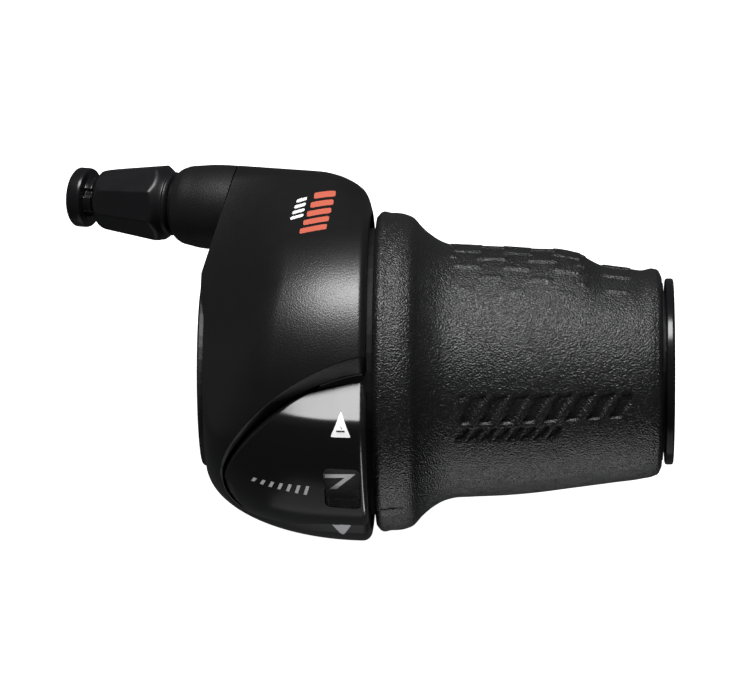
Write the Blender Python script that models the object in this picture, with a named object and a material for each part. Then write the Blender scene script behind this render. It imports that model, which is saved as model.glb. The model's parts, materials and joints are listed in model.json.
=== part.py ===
"""Twist-grip gear shifter for a seven-speed bicycle hub, right-hand side.

Frame: the handlebar axis is the X axis, +X points outboard along the bar, +Y points forwards,
+Z is the side that faces the rider.  The origin is on the bar axis, in the plane of the clamp bolt.
Angles round the bar are measured from +Z towards +Y.  Lengths are in metres.
"""
import math

import bmesh
import bpy
import numpy as np
from mathutils import Matrix, Vector

MM = 0.001
GAP = 0.3 * MM                    # clearance between neighbouring pieces

# ---- driving dimensions -------------------------------------------------------------------
BAR_RADIUS = 11.1 * MM            # a 22.2 mm handlebar
BORE_RADIUS = BAR_RADIUS + 0.1 * MM
PIPE_RADIUS = 12.6 * MM           # base pipe that the grip turns on
RUNNING_RADIUS = PIPE_RADIUS + GAP
COLLAR_RADIUS = 15.2 * MM         # split clamp collar at the inboard end
COLLAR_START = -5.2 * MM
COLLAR_END = 4.2 * MM
PIPE_END = 70.2 * MM

HOUSING_START = -4.2 * MM         # inboard wall of the covers
HOUSING_END = 22.1 * MM           # outboard rim of the covers
HOUSING_RADIUS = 27.3 * MM
HOUSING_NECK = 15.0 * MM          # radius that the body swells from
HOUSING_SWELL = 26.0 * MM         # length that it swells over
HOUSING_WIDEST = 21.5 * MM
SHOULDER_NECK = 15.9 * MM         # the rider's side has a fuller shoulder
SHOULDER_CREASE = 4.45 * MM       # at the front, and further outboard for each degree upwards
CREASE_DRIFT = 0.062 * MM
BAND_LENGTH = 4.4 * MM            # slanted band between the crease and the steeper shoulder
BAND_SLOPE = 0.80
CROWN_DROP = 3.0 * MM             # how far the rider's side falls over the crown's length
CROWN_LENGTH = 16.0 * MM
WALL = 1.6 * MM
SPLIT_HEIGHT = -10.0 * MM         # the front and lower covers part here

CABLE_POINT = Vector((-5.0, 26.9, -8.0)) * MM
CABLE_DIRECTION = Vector((-1.0, 0.082, -0.344)).normalized()
TUNNEL_RADIUS = 7.0 * MM
TUNNEL_ROUNDING_START = 13.0 * MM
TUNNEL_ROUNDING_LENGTH = 9.3 * MM
TUNNEL_ROUNDING_DEPTH = 5.5 * MM
TUNNEL_WEB = 19.6 * MM            # the sleeve's seam stops here, above the clamp collar
SEAM_POINT = Vector((-1.9, 26.4, 0.0)) * MM
SEAM_TURN = math.radians(-16.3)   # the cover and the outlet sleeve part on a slant
SEAM_NORMAL = Vector((-math.cos(SEAM_TURN), -math.sin(SEAM_TURN), 0.0))

PANEL_ANGLE = math.radians(-37.0)  # the display panel faces this way
PANEL_END = HOUSING_END + 0.37 * MM
PANEL_LENGTH = 23.4 * MM
PANEL_LOWER_CORNER = 4.8 * MM
PANEL_MIDDLE = -6.0 * MM
PANEL_TOP = 16.0 * MM
PANEL_BOTTOM = -14.9 * MM
PANEL_BOTTOM_END = -12.8 * MM
PANEL_PROUD = 1.35 * MM           # the display pillow stands this far above the body
PANEL_KNEE = math.radians(-16.5)  # above this angle the pillow is planed to a facet
FACET_FACING = math.radians(27.0)
WINDOW_ANGLE = math.radians(-42.0)
WINDOW_START = 15.2 * MM
WINDOW_STOP = 21.1 * MM
WINDOW_HALF_HEIGHT = 4.1 * MM

GEAR_COUNT = 7
GEAR_PITCH = math.radians(16.0)
NUMBER_RADIUS = 23.4 * MM
FACET_RADIUS = NUMBER_RADIUS + WALL + 0.45 * MM    # the panel's facet stays clear of the ring
INDEX_RADIUS = 18.2 * MM
DRUM_RADIUS = 18.2 * MM
DRUM_GROOVE_RADIUS = 15.6 * MM

GRIP_START = 22.95 * MM
GRIP_END = 68.6 * MM
CORE_RADIUS = 14.2 * MM
CORE_END = 68.0 * MM
RING_START = 69.1 * MM
RING_END = 70.5 * MM
RING_RADIUS = 15.0 * MM

CLAMP_BOLT_HEIGHT = -18.2 * MM
CLAMP_BOLT_RADIUS = 2.45 * MM     # M5
EAR_WIDTH = 8.0 * MM
EAR_REACH = 6.0 * MM
SLIT_WIDTH = 2.0 * MM
SHOULDER_RADIUS = 17.0 * MM       # keeps the index ring off the covers
SHOULDER_END = 5.2 * MM

ACCESS_PLACE = (11.6 * MM, -6.0 * MM)
ACCESS_RADIUS = 3.3 * MM
DETENT_ANGLE = math.radians(172.0)
SECTION_POINTS = 56               # facets round the housing
SPIGOT_RADIUS = 4.9 * MM
RIB_COUNT = 5                     # ribs on the plug's neck, and where the first one stands
FIRST_RIB = math.radians(14.0)
FLAT_COUNT = 8                    # flats on the thumb barrel, and where its first edge runs
FIRST_EDGE = math.radians(14.5)

SCREW_PLACES = [(11.2 * MM, -21.6 * MM), (11.2 * MM, 24.2 * MM)]
SCREW_HEAD_RADIUS = 2.0 * MM
SCREW_SHANK_RADIUS = 0.9 * MM
BOSS_RADIUS = 2.8 * MM

LOOKS = {                          # colour, roughness, metallic
    "gloss_black": ((0.012, 0.012, 0.013, 1.0), 0.18, 0.0),
    "satin_black": ((0.018, 0.018, 0.020, 1.0), 0.38, 0.0),
    "matte_black": ((0.022, 0.022, 0.024, 1.0), 0.62, 0.0),
    "rubber_black": ((0.028, 0.028, 0.029, 1.0), 0.78, 0.0),
    "smoked_clear": ((0.045, 0.046, 0.050, 1.0), 0.12, 0.0),
    "grey_plastic": ((0.220, 0.220, 0.225, 1.0), 0.50, 0.0),
    "white_plastic": ((0.700, 0.700, 0.690, 1.0), 0.45, 0.0),
    "steel": ((0.560, 0.560, 0.570, 1.0), 0.30, 1.0),
    "brass": ((0.720, 0.520, 0.230, 1.0), 0.32, 1.0),
}


# ---- scene helpers ------------------------------------------------------------------------
def clear_scene():
    for thing in list(bpy.data.objects):
        bpy.data.objects.remove(thing, do_unlink=True)


def make_material(look):
    colour, roughness, metallic = LOOKS[look]
    material = bpy.data.materials.get(look) or bpy.data.materials.new(look)
    material.use_nodes = True
    shader = material.node_tree.nodes["Principled BSDF"]
    shader.inputs["Base Color"].default_value = colour
    shader.inputs["Roughness"].default_value = roughness
    shader.inputs["Metallic"].default_value = metallic
    return material


def finish_mesh(name, bm, look, parent=None):
    """Turn a bmesh into a named object with smooth round faces."""
    bmesh.ops.recalc_face_normals(bm, faces=bm.faces)
    mesh = bpy.data.meshes.new(name)
    bm.to_mesh(mesh)
    bm.free()
    mesh.shade_smooth()
    mesh.set_sharp_from_angle(angle=math.radians(35.0))
    mesh.materials.append(make_material(look))
    thing = bpy.data.objects.new(name, mesh)
    thing.parent = parent
    bpy.context.collection.objects.link(thing)
    return thing


def make_cutter(thing):
    thing.hide_render = True
    thing.display_type = "WIRE"
    return thing


def combine(thing, other, operation="DIFFERENCE"):
    modifier = thing.modifiers.new(f"{operation.lower()} {other.name}", "BOOLEAN")
    modifier.operation = operation
    modifier.solver = "EXACT"
    modifier.object = other
    return thing


def empty_on_axis(name, matrix):
    marker = bpy.data.objects.new(name, None)
    marker.empty_display_size = 10.0 * MM
    marker.matrix_world = matrix
    bpy.context.collection.objects.link(marker)
    return marker


# ---- shape helpers ------------------------------------------------------------------------
def turned(name, profile, look, segments=40, parent=None):
    """Spin a closed outline of (x, radius) points round the local X axis."""
    bm = bmesh.new()
    points = [bm.verts.new((x, 0.0, radius)) for x, radius in profile]
    edges = [bm.edges.new((points[i - 1], points[i])) for i in range(len(points))]
    bmesh.ops.spin(
        bm, geom=points + edges, cent=(0.0, 0.0, 0.0), axis=(1.0, 0.0, 0.0),
        angle=2.0 * math.pi, steps=segments, use_merge=True, use_duplicate=False,
    )
    bmesh.ops.remove_doubles(bm, verts=bm.verts, dist=1e-7)
    return finish_mesh(name, bm, look, parent)


def ring_profile(start, end, inner, outer):
    return [(start, inner), (end, inner), (end, outer), (start, outer)]


def millimetres(points):
    """Scale an outline that is written in millimetres."""
    return [(x * MM, radius * MM) for x, radius in points]


def lofted(name, sections, look, parent=None):
    """Skin a row of equal-sized closed sections and cap both ends."""
    bm = bmesh.new()
    rings = [[bm.verts.new(point) for point in section] for section in sections]
    count = len(rings[0])
    for near, far in zip(rings, rings[1:]):
        for i in range(count):
            j = (i + 1) % count
            bm.faces.new((near[i], near[j], far[j], far[i]))
    bm.faces.new(rings[0])
    bm.faces.new(rings[-1])
    bmesh.ops.triangulate(bm, faces=bm.faces)
    return finish_mesh(name, bm, look, parent)


def boxed(name, low, high):
    """A box between two corners, for cutting with."""
    bm = bmesh.new()
    bmesh.ops.create_cube(bm, size=1.0)
    low, high = Vector(low), Vector(high)
    size = high - low
    bmesh.ops.scale(bm, verts=bm.verts, vec=size)
    bmesh.ops.translate(bm, verts=bm.verts, vec=(low + high) / 2.0)
    return finish_mesh(name, bm, "grey_plastic")


def rod(name, start, end, radius, look="grey_plastic", segments=24):
    """A straight cylinder between two points."""
    start, end = Vector(start), Vector(end)
    bm = bmesh.new()
    bmesh.ops.create_cone(
        bm, cap_ends=True, segments=segments, radius1=radius, radius2=radius,
        depth=(end - start).length,
    )
    turn = (end - start).to_track_quat("Z", "Y").to_matrix().to_4x4()
    bmesh.ops.transform(bm, verts=bm.verts, matrix=Matrix.Translation((start + end) / 2.0) @ turn)
    return finish_mesh(name, bm, look)


def tube_along(name, path, outer, inner, look, segments=12, parent=None):
    """A hollow tube, or a solid one when inner is zero, swept along a smooth path."""
    path = [Vector(point) for point in path]
    bm = bmesh.new()
    shells = {}
    for radius in (outer, inner):
        if radius <= 0.0:
            continue
        rings = []
        side = None
        for index, point in enumerate(path):
            ahead = path[min(index + 1, len(path) - 1)] - path[max(index - 1, 0)]
            ahead.normalize()
            if side is None:
                side = ahead.orthogonal().normalized()
            side = (side - ahead * side.dot(ahead)).normalized()
            other = ahead.cross(side)
            turn = [2.0 * math.pi * k / segments for k in range(segments)]
            ring = [point + radius * (math.cos(a) * side + math.sin(a) * other) for a in turn]
            rings.append([bm.verts.new(place) for place in ring])
        shells[radius] = rings
        for near, far in zip(rings, rings[1:]):
            for i in range(segments):
                j = (i + 1) % segments
                bm.faces.new((near[i], near[j], far[j], far[i]))
    if inner <= 0.0:
        bm.faces.new(shells[outer][0])
        bm.faces.new(shells[outer][-1])
    else:
        for end in (0, -1):
            for i in range(segments):
                j = (i + 1) % segments
                wide, narrow = shells[outer][end], shells[inner][end]
                bm.faces.new((wide[i], wide[j], narrow[j], narrow[i]))
    return finish_mesh(name, bm, look, parent)


def bezier(points, steps):
    """Points on the cubic curve through four control points."""
    a, b, c, d = [Vector(point) for point in points]
    path = []
    for index in range(steps + 1):
        t = index / steps
        s = 1.0 - t
        path.append(s**3 * a + 3.0 * s * s * t * b + 3.0 * s * t * t * c + t**3 * d)
    return path


def smooth_step(value, low, high):
    t = min(1.0, max(0.0, (value - low) / (high - low)))
    return t * t * (3.0 - 2.0 * t)


def around_bar(x, radius, angle):
    return Vector((x, radius * math.sin(angle), radius * math.cos(angle)))


# ---- the housing's outer form ---------------------------------------------------------------
def barrel_radius(x):
    run = min(1.0, max(0.0, (HOUSING_WIDEST - x) / HOUSING_SWELL))
    return HOUSING_NECK + (HOUSING_RADIUS - HOUSING_NECK) * math.sqrt(1.0 - run * run)


def crown_radius(x):
    return HOUSING_RADIUS - CROWN_DROP * (max(0.0, HOUSING_WIDEST - x) / CROWN_LENGTH) ** 2


def body_radius(x, angle):
    """Radius of the round body: barrel-shaped, crowned and shouldered where it faces the rider."""
    degrees = math.degrees(angle)
    crease = SHOULDER_CREASE + CREASE_DRIFT * min(36.0, max(-14.0, degrees))
    knee = crease - BAND_LENGTH
    high = crown_radius(crease)
    low = high - BAND_LENGTH * BAND_SLOPE
    steep = low + (x - knee) * (low - SHOULDER_NECK) / (knee - HOUSING_START)
    shoulder = min(steep, high + (x - crease) * BAND_SLOPE, crown_radius(x))
    facing = smooth_step(degrees, -30.0, -8.0) * (1.0 - smooth_step(degrees, 35.0, 68.0))
    barrel = barrel_radius(x)
    return barrel + (shoulder - barrel) * facing


def panel_radius(x, angle, inset):
    """Radius of the display pillow, planed to a facet along its top."""
    angle = math.atan2(math.sin(angle), math.cos(angle))
    broad = min(1.0, max(0.0, (x - PANEL_END + PANEL_LENGTH) / PANEL_LENGTH))
    pillow = barrel_radius(x) + PANEL_PROUD * broad ** 0.7
    facet = pillow * math.cos(PANEL_KNEE - FACET_FACING) / max(0.3, math.cos(angle - FACET_FACING))
    if angle > PANEL_KNEE:
        pillow = max(facet, min(pillow, FACET_RADIUS))
    return pillow - inset


def cable_axis_at(x):
    """Point of the cable's axis at station x."""
    travel = (x - CABLE_POINT.x) / CABLE_DIRECTION.x
    return CABLE_POINT + CABLE_DIRECTION * travel


def tunnel_radius(x):
    """The cable tunnel's crest rounds off towards the outboard rim."""
    run = min(1.0, max(0.0, (x - TUNNEL_ROUNDING_START) / TUNNEL_ROUNDING_LENGTH))
    return TUNNEL_RADIUS - TUNNEL_ROUNDING_DEPTH * (1.0 - math.sqrt(1.0 - run * run))


def section_radius(x, angle, inset):
    """Radius of the convex outline drawn round the body circle and the cable tunnel."""
    centre = cable_axis_at(x)
    tunnel = tunnel_radius(min(x, HOUSING_END))
    best = 1.0
    for lean in np.radians(np.arange(-80.0, 80.5, 2.0)):
        facing = angle + float(lean)
        wrapped = math.atan2(math.sin(facing), math.cos(facing))
        body = body_radius(x, wrapped)
        reach = centre.y * math.sin(facing) + centre.z * math.cos(facing) + tunnel
        best = min(best, (max(body, reach) - inset) / math.cos(float(lean)))
    return best


def housing_solid(name, start, end, inset, look, radius_at=section_radius):
    """The housing's form, or its hollow when inset by the wall."""
    middle = [0.2, 2.6, 5.2, 8.2, 11.5, 14.5, 17.0, 19.0, 20.6, 21.5]
    stations = [start, -1.9 * MM] + [value * MM for value in middle] + [end]
    angles = [2.0 * math.pi * (k + 0.37) / SECTION_POINTS - math.pi for k in range(SECTION_POINTS)]
    sections = []
    for x in stations:
        sections.append([around_bar(x, radius_at(x, a, inset), a) for a in angles])
    return lofted(name, sections, look)


def panel_outline(grow):
    """Teardrop outline of the display panel, in X and the height across its facing direction."""
    points = []
    tip = PANEL_END - PANEL_LENGTH
    for index in range(19):                       # crown, a superellipse quarter
        t = math.radians(90.0 * index / 18)
        x = PANEL_END - (PANEL_LENGTH + grow) * math.sin(t) ** (2.0 / 1.7)
        high = PANEL_MIDDLE + (PANEL_TOP - PANEL_MIDDLE + grow) * math.cos(t) ** (2.0 / 1.7)
        points.append((x, high))
    corner = PANEL_LOWER_CORNER - tip
    for index in range(1, 9):                     # round lower corner
        t = math.radians(90.0 * index / 8)
        x = PANEL_LOWER_CORNER - (corner + grow) * math.cos(t) ** (2.0 / 2.2)
        high = PANEL_MIDDLE - (PANEL_MIDDLE - PANEL_BOTTOM + grow) * math.sin(t) ** (2.0 / 2.2)
        points.append((x, high))
    for index in range(1, 5):                     # the lower edge rises a little outboard
        t = index / 4
        x = PANEL_LOWER_CORNER + (PANEL_END - PANEL_LOWER_CORNER) * t
        rise = (PANEL_BOTTOM_END - PANEL_BOTTOM) * smooth_step(t, 0.0, 0.75)
        points.append((x, PANEL_BOTTOM + rise - grow))
    points.append((PANEL_END + 2.0 * MM, PANEL_BOTTOM_END - grow))
    points.append((PANEL_END + 2.0 * MM, PANEL_TOP + grow))
    return points


def panel_prism(name, grow, low, high):
    """The outline extruded along the direction that the panel faces."""
    out = Vector((0.0, math.sin(PANEL_ANGLE), math.cos(PANEL_ANGLE)))
    across = Vector((0.0, math.cos(PANEL_ANGLE), -math.sin(PANEL_ANGLE)))
    base = [Vector((x, 0.0, 0.0)) + across * rise for x, rise in panel_outline(grow)]
    sections = [[point + out * depth for point in base] for depth in (low, high)]
    return make_cutter(lofted(name, sections, "grey_plastic"))


def window_box(name, grow):
    """A box through the wall at the indicator window."""
    half = WINDOW_HALF_HEIGHT + grow
    thing = boxed(
        name, (WINDOW_START - grow, -half, 20.0 * MM), (WINDOW_STOP + grow, half, 32.0 * MM),
    )
    thing.matrix_world = Matrix.Rotation(-WINDOW_ANGLE, 4, "X")
    return make_cutter(thing)


def half_space(name, point, normal):
    """A large block that fills everything on the normal's side of a plane."""
    size = 90.0 * MM
    block = boxed(name, (-size, -size, 0.0), (size, size, size))
    block.matrix_world = Matrix.Translation(point) @ normal.to_track_quat("Z", "Y").to_matrix().to_4x4()
    return make_cutter(block)


# ---- fixed pieces on the bar ----------------------------------------------------------------
def make_bracket():
    """Base pipe with its split clamp collar, two ears and the shoulder behind the index ring."""
    profile = [
        (COLLAR_START, BORE_RADIUS), (PIPE_END, BORE_RADIUS), (PIPE_END, PIPE_RADIUS),
        (SHOULDER_END, PIPE_RADIUS), (SHOULDER_END, SHOULDER_RADIUS), (COLLAR_END, SHOULDER_RADIUS),
        (COLLAR_END, COLLAR_RADIUS), (COLLAR_START + 0.3 * MM, COLLAR_RADIUS),
        (COLLAR_START, COLLAR_RADIUS - 0.3 * MM),
    ]
    bracket = turned("bracket", profile, "matte_black", segments=48)
    half = EAR_WIDTH / 2.0
    ears = make_cutter(boxed(
        "ear_block", (-half, -EAR_REACH, -21.6 * MM), (half, EAR_REACH, -13.4 * MM),
    ))
    combine(bracket, ears, "UNION")
    slit = make_cutter(boxed(
        "slit_cutter", (-8.0 * MM, -SLIT_WIDTH / 2.0, -30.0 * MM),
        (half + 0.6 * MM, SLIT_WIDTH / 2.0, -10.0 * MM),
    ))
    combine(bracket, slit)
    hole = make_cutter(rod(
        "bolt_hole", (0.0, -9.0 * MM, CLAMP_BOLT_HEIGHT), (0.0, 9.0 * MM, CLAMP_BOLT_HEIGHT),
        CLAMP_BOLT_RADIUS + 0.35 * MM,
    ))
    combine(bracket, hole)
    return bracket


def make_clamp_bolt():
    """M5 socket-head bolt across the clamp ears."""
    bolt_axis = Matrix.Translation((0.0, 0.0, CLAMP_BOLT_HEIGHT)) @ Matrix.Rotation(math.pi / 2, 4, "Z")
    profile = [
        (-10.6 * MM, 0.0), (11.0 * MM, 0.0), (11.0 * MM, 3.9 * MM), (10.7 * MM, 4.2 * MM),
        (EAR_REACH + GAP, 4.2 * MM), (EAR_REACH + GAP, CLAMP_BOLT_RADIUS),
        (-10.6 * MM, CLAMP_BOLT_RADIUS),
    ]
    bolt = turned("clamp_bolt", profile, "steel", segments=24)
    bolt.matrix_world = bolt_axis
    socket = make_cutter(rod("bolt_socket", (8.2 * MM, 0, 0), (13.0 * MM, 0, 0), 2.3 * MM, segments=6))
    socket.matrix_world = bolt_axis
    return combine(bolt, socket)


def make_clamp_nut():
    nut = rod(
        "clamp_nut", (0.0, -9.8 * MM, CLAMP_BOLT_HEIGHT), (0.0, -EAR_REACH - GAP, CLAMP_BOLT_HEIGHT),
        4.5 * MM, "steel", segments=6,
    )
    hole = make_cutter(rod(
        "nut_hole", (0.0, -12.0 * MM, CLAMP_BOLT_HEIGHT), (0.0, -4.0 * MM, CLAMP_BOLT_HEIGHT),
        CLAMP_BOLT_RADIUS + GAP,
    ))
    return combine(nut, hole)


def make_end_ring():
    """Retaining ring that holds the grip on the base pipe."""
    rim = 0.45 * MM
    profile = [
        (RING_START, RUNNING_RADIUS), (RING_END, RUNNING_RADIUS), (RING_END, RING_RADIUS - rim),
        (RING_END - rim, RING_RADIUS), (RING_START + rim, RING_RADIUS),
        (RING_START, RING_RADIUS - rim),
    ]
    return turned("end_ring", profile, "gloss_black", segments=48)


def make_thrust_washer():
    profile = ring_profile(CORE_END + GAP, RING_START - GAP, RUNNING_RADIUS, 14.3 * MM)
    return turned("thrust_washer", profile, "white_plastic")


# ---- housing covers -------------------------------------------------------------------------
def make_cavity():
    """Hollow of the housing, less the two screw bosses that stand in it."""
    cavity = make_cutter(housing_solid(
        "cavity", HOUSING_START + WALL, HOUSING_END + 2.0 * MM, WALL, "grey_plastic",
    ))
    for index, (x, y) in enumerate(SCREW_PLACES, start=1):
        boss = make_cutter(rod(
            f"boss_{index}", (x, y, -30.0 * MM), (x, y, -6.4 * MM), BOSS_RADIUS,
        ))
        combine(cavity, boss)
    return cavity


def make_screw_holes():
    holes = []
    for index, (x, y) in enumerate(SCREW_PLACES, start=1):
        pilot = rod(
            f"pilot_{index}", (x, y, -30.0 * MM), (x, y, -7.6 * MM),
            SCREW_SHANK_RADIUS + 0.25 * MM, segments=16,
        )
        recess = rod(
            f"recess_{index}", (x, y, -30.0 * MM), (x, y, -11.8 * MM),
            SCREW_HEAD_RADIUS + GAP, segments=20,
        )
        holes += [make_cutter(pilot), make_cutter(recess)]
    return holes


def make_housing_cover(form, cavity, holes):
    """Front cover: body shell, shoulder and the cable tunnel."""
    cover = form
    combine(cover, cavity)
    bore = make_cutter(rod(
        "collar_bore", (-9.0 * MM, 0, 0), (0.0, 0, 0), COLLAR_RADIUS + GAP, segments=48,
    ))
    combine(cover, bore)
    tunnel = make_cutter(rod(
        "tunnel_bore", CABLE_POINT + 6.0 * MM * CABLE_DIRECTION,
        CABLE_POINT - 9.0 * MM * CABLE_DIRECTION, TUNNEL_RADIUS - WALL, segments=36,
    ))
    combine(cover, tunnel)
    combine(cover, half_space("below_split", Vector((0, 0, SPLIT_HEIGHT)), Vector((0, 0, -1))))
    seam = make_cutter(boxed("seam_block", (-40 * MM, -13.0 * MM, -30 * MM), (0, 30 * MM, 30 * MM)))
    seam.matrix_world = Matrix.Translation(SEAM_POINT) @ Matrix.Rotation(SEAM_TURN, 4, "Z")
    seam_low = make_cutter(boxed(
        "seam_floor", (-60 * MM, -80 * MM, -60 * MM), (60 * MM, TUNNEL_WEB, 60 * MM),
    ))
    combine(seam, seam_low)
    combine(cover, seam)
    combine(cover, panel_prism("panel_opening", GAP, 8.0 * MM, 34.0 * MM))
    for hole in holes:
        combine(cover, hole)
    return cover


def make_lower_cover(form, cavity, holes):
    """Rear cover: closes the housing behind the bar and leaves room for the clamp ears."""
    cover = form
    combine(cover, cavity)
    bore = make_cutter(rod(
        "rear_collar_bore", (-9.0 * MM, 0, 0), (0.0, 0, 0), COLLAR_RADIUS + GAP, segments=48,
    ))
    combine(cover, bore)
    split = Vector((0, 0, SPLIT_HEIGHT - GAP))
    combine(cover, half_space("above_split", split, Vector((0, 0, 1))))
    ears = make_cutter(boxed(
        "ear_opening", (-9.0 * MM, -13.0 * MM, -40.0 * MM), (5.0 * MM, 13.0 * MM, -12.0 * MM),
    ))
    combine(cover, ears)
    outlet = make_cutter(boxed(
        "outlet_opening", (-40.0 * MM, 14.5 * MM, -40.0 * MM), (0.4 * MM, 60.0 * MM, 0.0),
    ))
    combine(cover, outlet)
    for hole in holes:
        combine(cover, hole)
    port = make_cutter(rod(
        "access_port", (*ACCESS_PLACE, -40.0 * MM), (*ACCESS_PLACE, -20.5 * MM), ACCESS_RADIUS,
    ))
    return combine(cover, port)


def make_access_plug():
    """Push-in plug over the port that the inner cable's end is fitted through."""
    radius = ACCESS_RADIUS - 0.4 * MM
    profile = ring_profile(-25.3 * MM, -23.2 * MM, 0.0, radius)
    plug = turned("access_plug", profile, "matte_black", segments=24)
    plug.matrix_world = Matrix.Translation((*ACCESS_PLACE, 0.0)) @ Matrix.Rotation(-math.pi / 2, 4, "Y")
    return plug


def make_cover_screw(index, x, y):
    """Pan-head screw from below, with a cross recess."""
    head_top = -12.1 * MM
    profile = [
        (-13.4 * MM, 0.0), (-8.2 * MM, 0.0), (-8.2 * MM, 0.55 * MM), (-8.7 * MM, SCREW_SHANK_RADIUS),
        (head_top, SCREW_SHANK_RADIUS), (head_top, SCREW_HEAD_RADIUS),
        (-13.0 * MM, SCREW_HEAD_RADIUS), (-13.4 * MM, 1.5 * MM),
    ]
    screw = turned(f"cover_screw_{index}", profile, "steel", segments=20)
    place = Matrix.Translation((x, y, 0.0)) @ Matrix.Rotation(-math.pi / 2, 4, "Y")
    screw.matrix_world = place
    for number, (wide, deep) in enumerate(((1.1, 0.3), (0.3, 1.1))):
        slot = make_cutter(boxed(
            f"screw_slot_{index}_{number}", (-15.0 * MM, -wide * MM, -deep * MM),
            (-12.7 * MM, wide * MM, deep * MM),
        ))
        slot.matrix_world = place
        combine(screw, slot)
    return screw


def make_indicator_panel():
    """Glossy display panel, a shell that follows the body inside its teardrop outline."""
    panel = housing_solid("indicator_panel", HOUSING_START, HOUSING_END, 0.0, "gloss_black", panel_radius)
    core = make_cutter(housing_solid(
        "panel_hollow", HOUSING_START - MM, HOUSING_END + 2.0 * MM, WALL, "grey_plastic", panel_radius,
    ))
    combine(panel, core)
    combine(panel, panel_prism("panel_outline", 0.0, 8.0 * MM, 34.0 * MM), "INTERSECT")
    return combine(panel, window_box("window_opening", GAP))


def make_window_lens():
    lens = turned(
        "window_lens", ring_profile(12.0 * MM, 24.0 * MM, 26.6 * MM, 27.8 * MM), "smoked_clear",
        segments=72,
    )
    return combine(lens, window_box("lens_outline", 0.0), "INTERSECT")


# ---- pieces that turn with the grip ---------------------------------------------------------
def grip_outline():
    """Outer outline of the rubber grip: flared flange, waist, palm swell and tapered end."""
    return [
        (22.95, 25.2), (23.3, 25.6), (27.7, 25.3), (28.95, 24.7), (30.1, 23.4), (31.6, 22.1),
        (33.3, 21.0), (35.2, 20.4), (40.0, 20.1), (48.2, 19.6), (51.6, 19.5), (54.5, 18.9),
        (57.4, 18.1), (61.0, 17.4), (67.2, 16.5), (68.3, 15.9), (68.6, 15.0),
    ]


def make_grip_sleeve(axis):
    outer = millimetres(grip_outline())
    inner_radius = CORE_RADIUS + GAP
    inner = [
        (GRIP_END, inner_radius), (37.2 * MM, inner_radius), (33.0 * MM, 17.4 * MM),
        (26.4 * MM, 23.4 * MM), (GRIP_START, 23.4 * MM),
    ]
    return turned("grip_sleeve", outer + inner, "rubber_black", segments=40, parent=axis)


def make_grip_core(axis):
    """Moulded core: bell from the housing's mouth to under the flange, and the long tube."""
    bell = 23.1 * MM
    profile = [
        (21.7 * MM, RUNNING_RADIUS), (CORE_END, RUNNING_RADIUS), (CORE_END, CORE_RADIUS),
        (37.2 * MM, CORE_RADIUS), (33.0 * MM, 17.1 * MM), (26.2 * MM, bell), (21.7 * MM, bell),
    ]
    core = turned("grip_core", profile, "satin_black", segments=48, parent=axis)
    relief = make_cutter(turned(
        "bell_relief", [
            (20.0 * MM, 15.2 * MM), (30.0 * MM, 15.2 * MM), (25.4 * MM, 21.2 * MM), (20.0 * MM, 21.2 * MM),
        ], "grey_plastic", segments=48,
    ))
    return combine(core, relief)


def make_number_ring(axis):
    """Cup that carries the gear numbers past the window, one pitch for each gear."""
    outer, inner = NUMBER_RADIUS, NUMBER_RADIUS - 1.2 * MM
    profile = [
        (20.2 * MM, CORE_RADIUS), (21.4 * MM, CORE_RADIUS), (21.4 * MM, outer), (14.8 * MM, outer),
        (14.8 * MM, inner), (20.2 * MM, inner),
    ]
    return turned("number_ring", profile, "matte_black", segments=48, parent=axis)


def make_cable_drum(axis):
    """Pulley that winds the inner cable, with a pocket for the cable's end."""
    start, end, lip = 9.0 * MM, 14.2 * MM, 0.9 * MM
    profile = [
        (start, RUNNING_RADIUS), (19.8 * MM, RUNNING_RADIUS), (19.8 * MM, CORE_RADIUS),
        (end, CORE_RADIUS), (end, DRUM_RADIUS), (end - lip, DRUM_RADIUS),
        (end - 1.6 * MM, DRUM_GROOVE_RADIUS), (start + 1.6 * MM, DRUM_GROOVE_RADIUS),
        (start + lip, DRUM_RADIUS), (start, DRUM_RADIUS),
    ]
    drum = turned("cable_drum", profile, "grey_plastic", segments=36, parent=axis)
    angle = math.radians(-150.0)
    centre = around_bar(0.0, 16.0 * MM, angle)
    pocket = make_cutter(rod(
        "cable_end_pocket", centre + Vector((10.4 * MM, 0, 0)), centre + Vector((18.0 * MM, 0, 0)),
        1.7 * MM, segments=16,
    ))
    return combine(drum, pocket)


def make_index_ring(axis):
    """Ratchet ring with one notch for each gear."""
    ring = turned(
        "index_ring", ring_profile(6.0 * MM, 8.6 * MM, RUNNING_RADIUS, INDEX_RADIUS), "white_plastic",
        segments=56, parent=axis,
    )
    for gear in range(GEAR_COUNT):
        angle = DETENT_ANGLE + gear * GEAR_PITCH
        notch = make_cutter(rod(
            f"notch_{gear + 1}", around_bar(5.0 * MM, INDEX_RADIUS + 0.5 * MM, angle),
            around_bar(10.0 * MM, INDEX_RADIUS + 0.5 * MM, angle), 1.5 * MM, segments=12,
        ))
        combine(ring, notch)
    return ring


# ---- springs and liner ----------------------------------------------------------------------
def make_detent_spring():
    """Leaf spring whose rounded nose drops into the index ring's notches."""
    path = []
    for index in range(17):
        t = index / 16.0
        angle = DETENT_ANGLE + math.radians(40.0 * (t - 0.5))
        dip = 1.7 * MM * math.exp(-((t - 0.5) / 0.13) ** 2)
        path.append((angle, 20.0 * MM - dip))
    thick = 0.4 * MM
    sections = []
    for angle, radius in path:
        sections.append([
            around_bar(6.3 * MM, radius, angle), around_bar(8.3 * MM, radius, angle),
            around_bar(8.3 * MM, radius + thick, angle), around_bar(6.3 * MM, radius + thick, angle),
        ])
    return lofted("detent_spring", sections, "steel")


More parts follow.
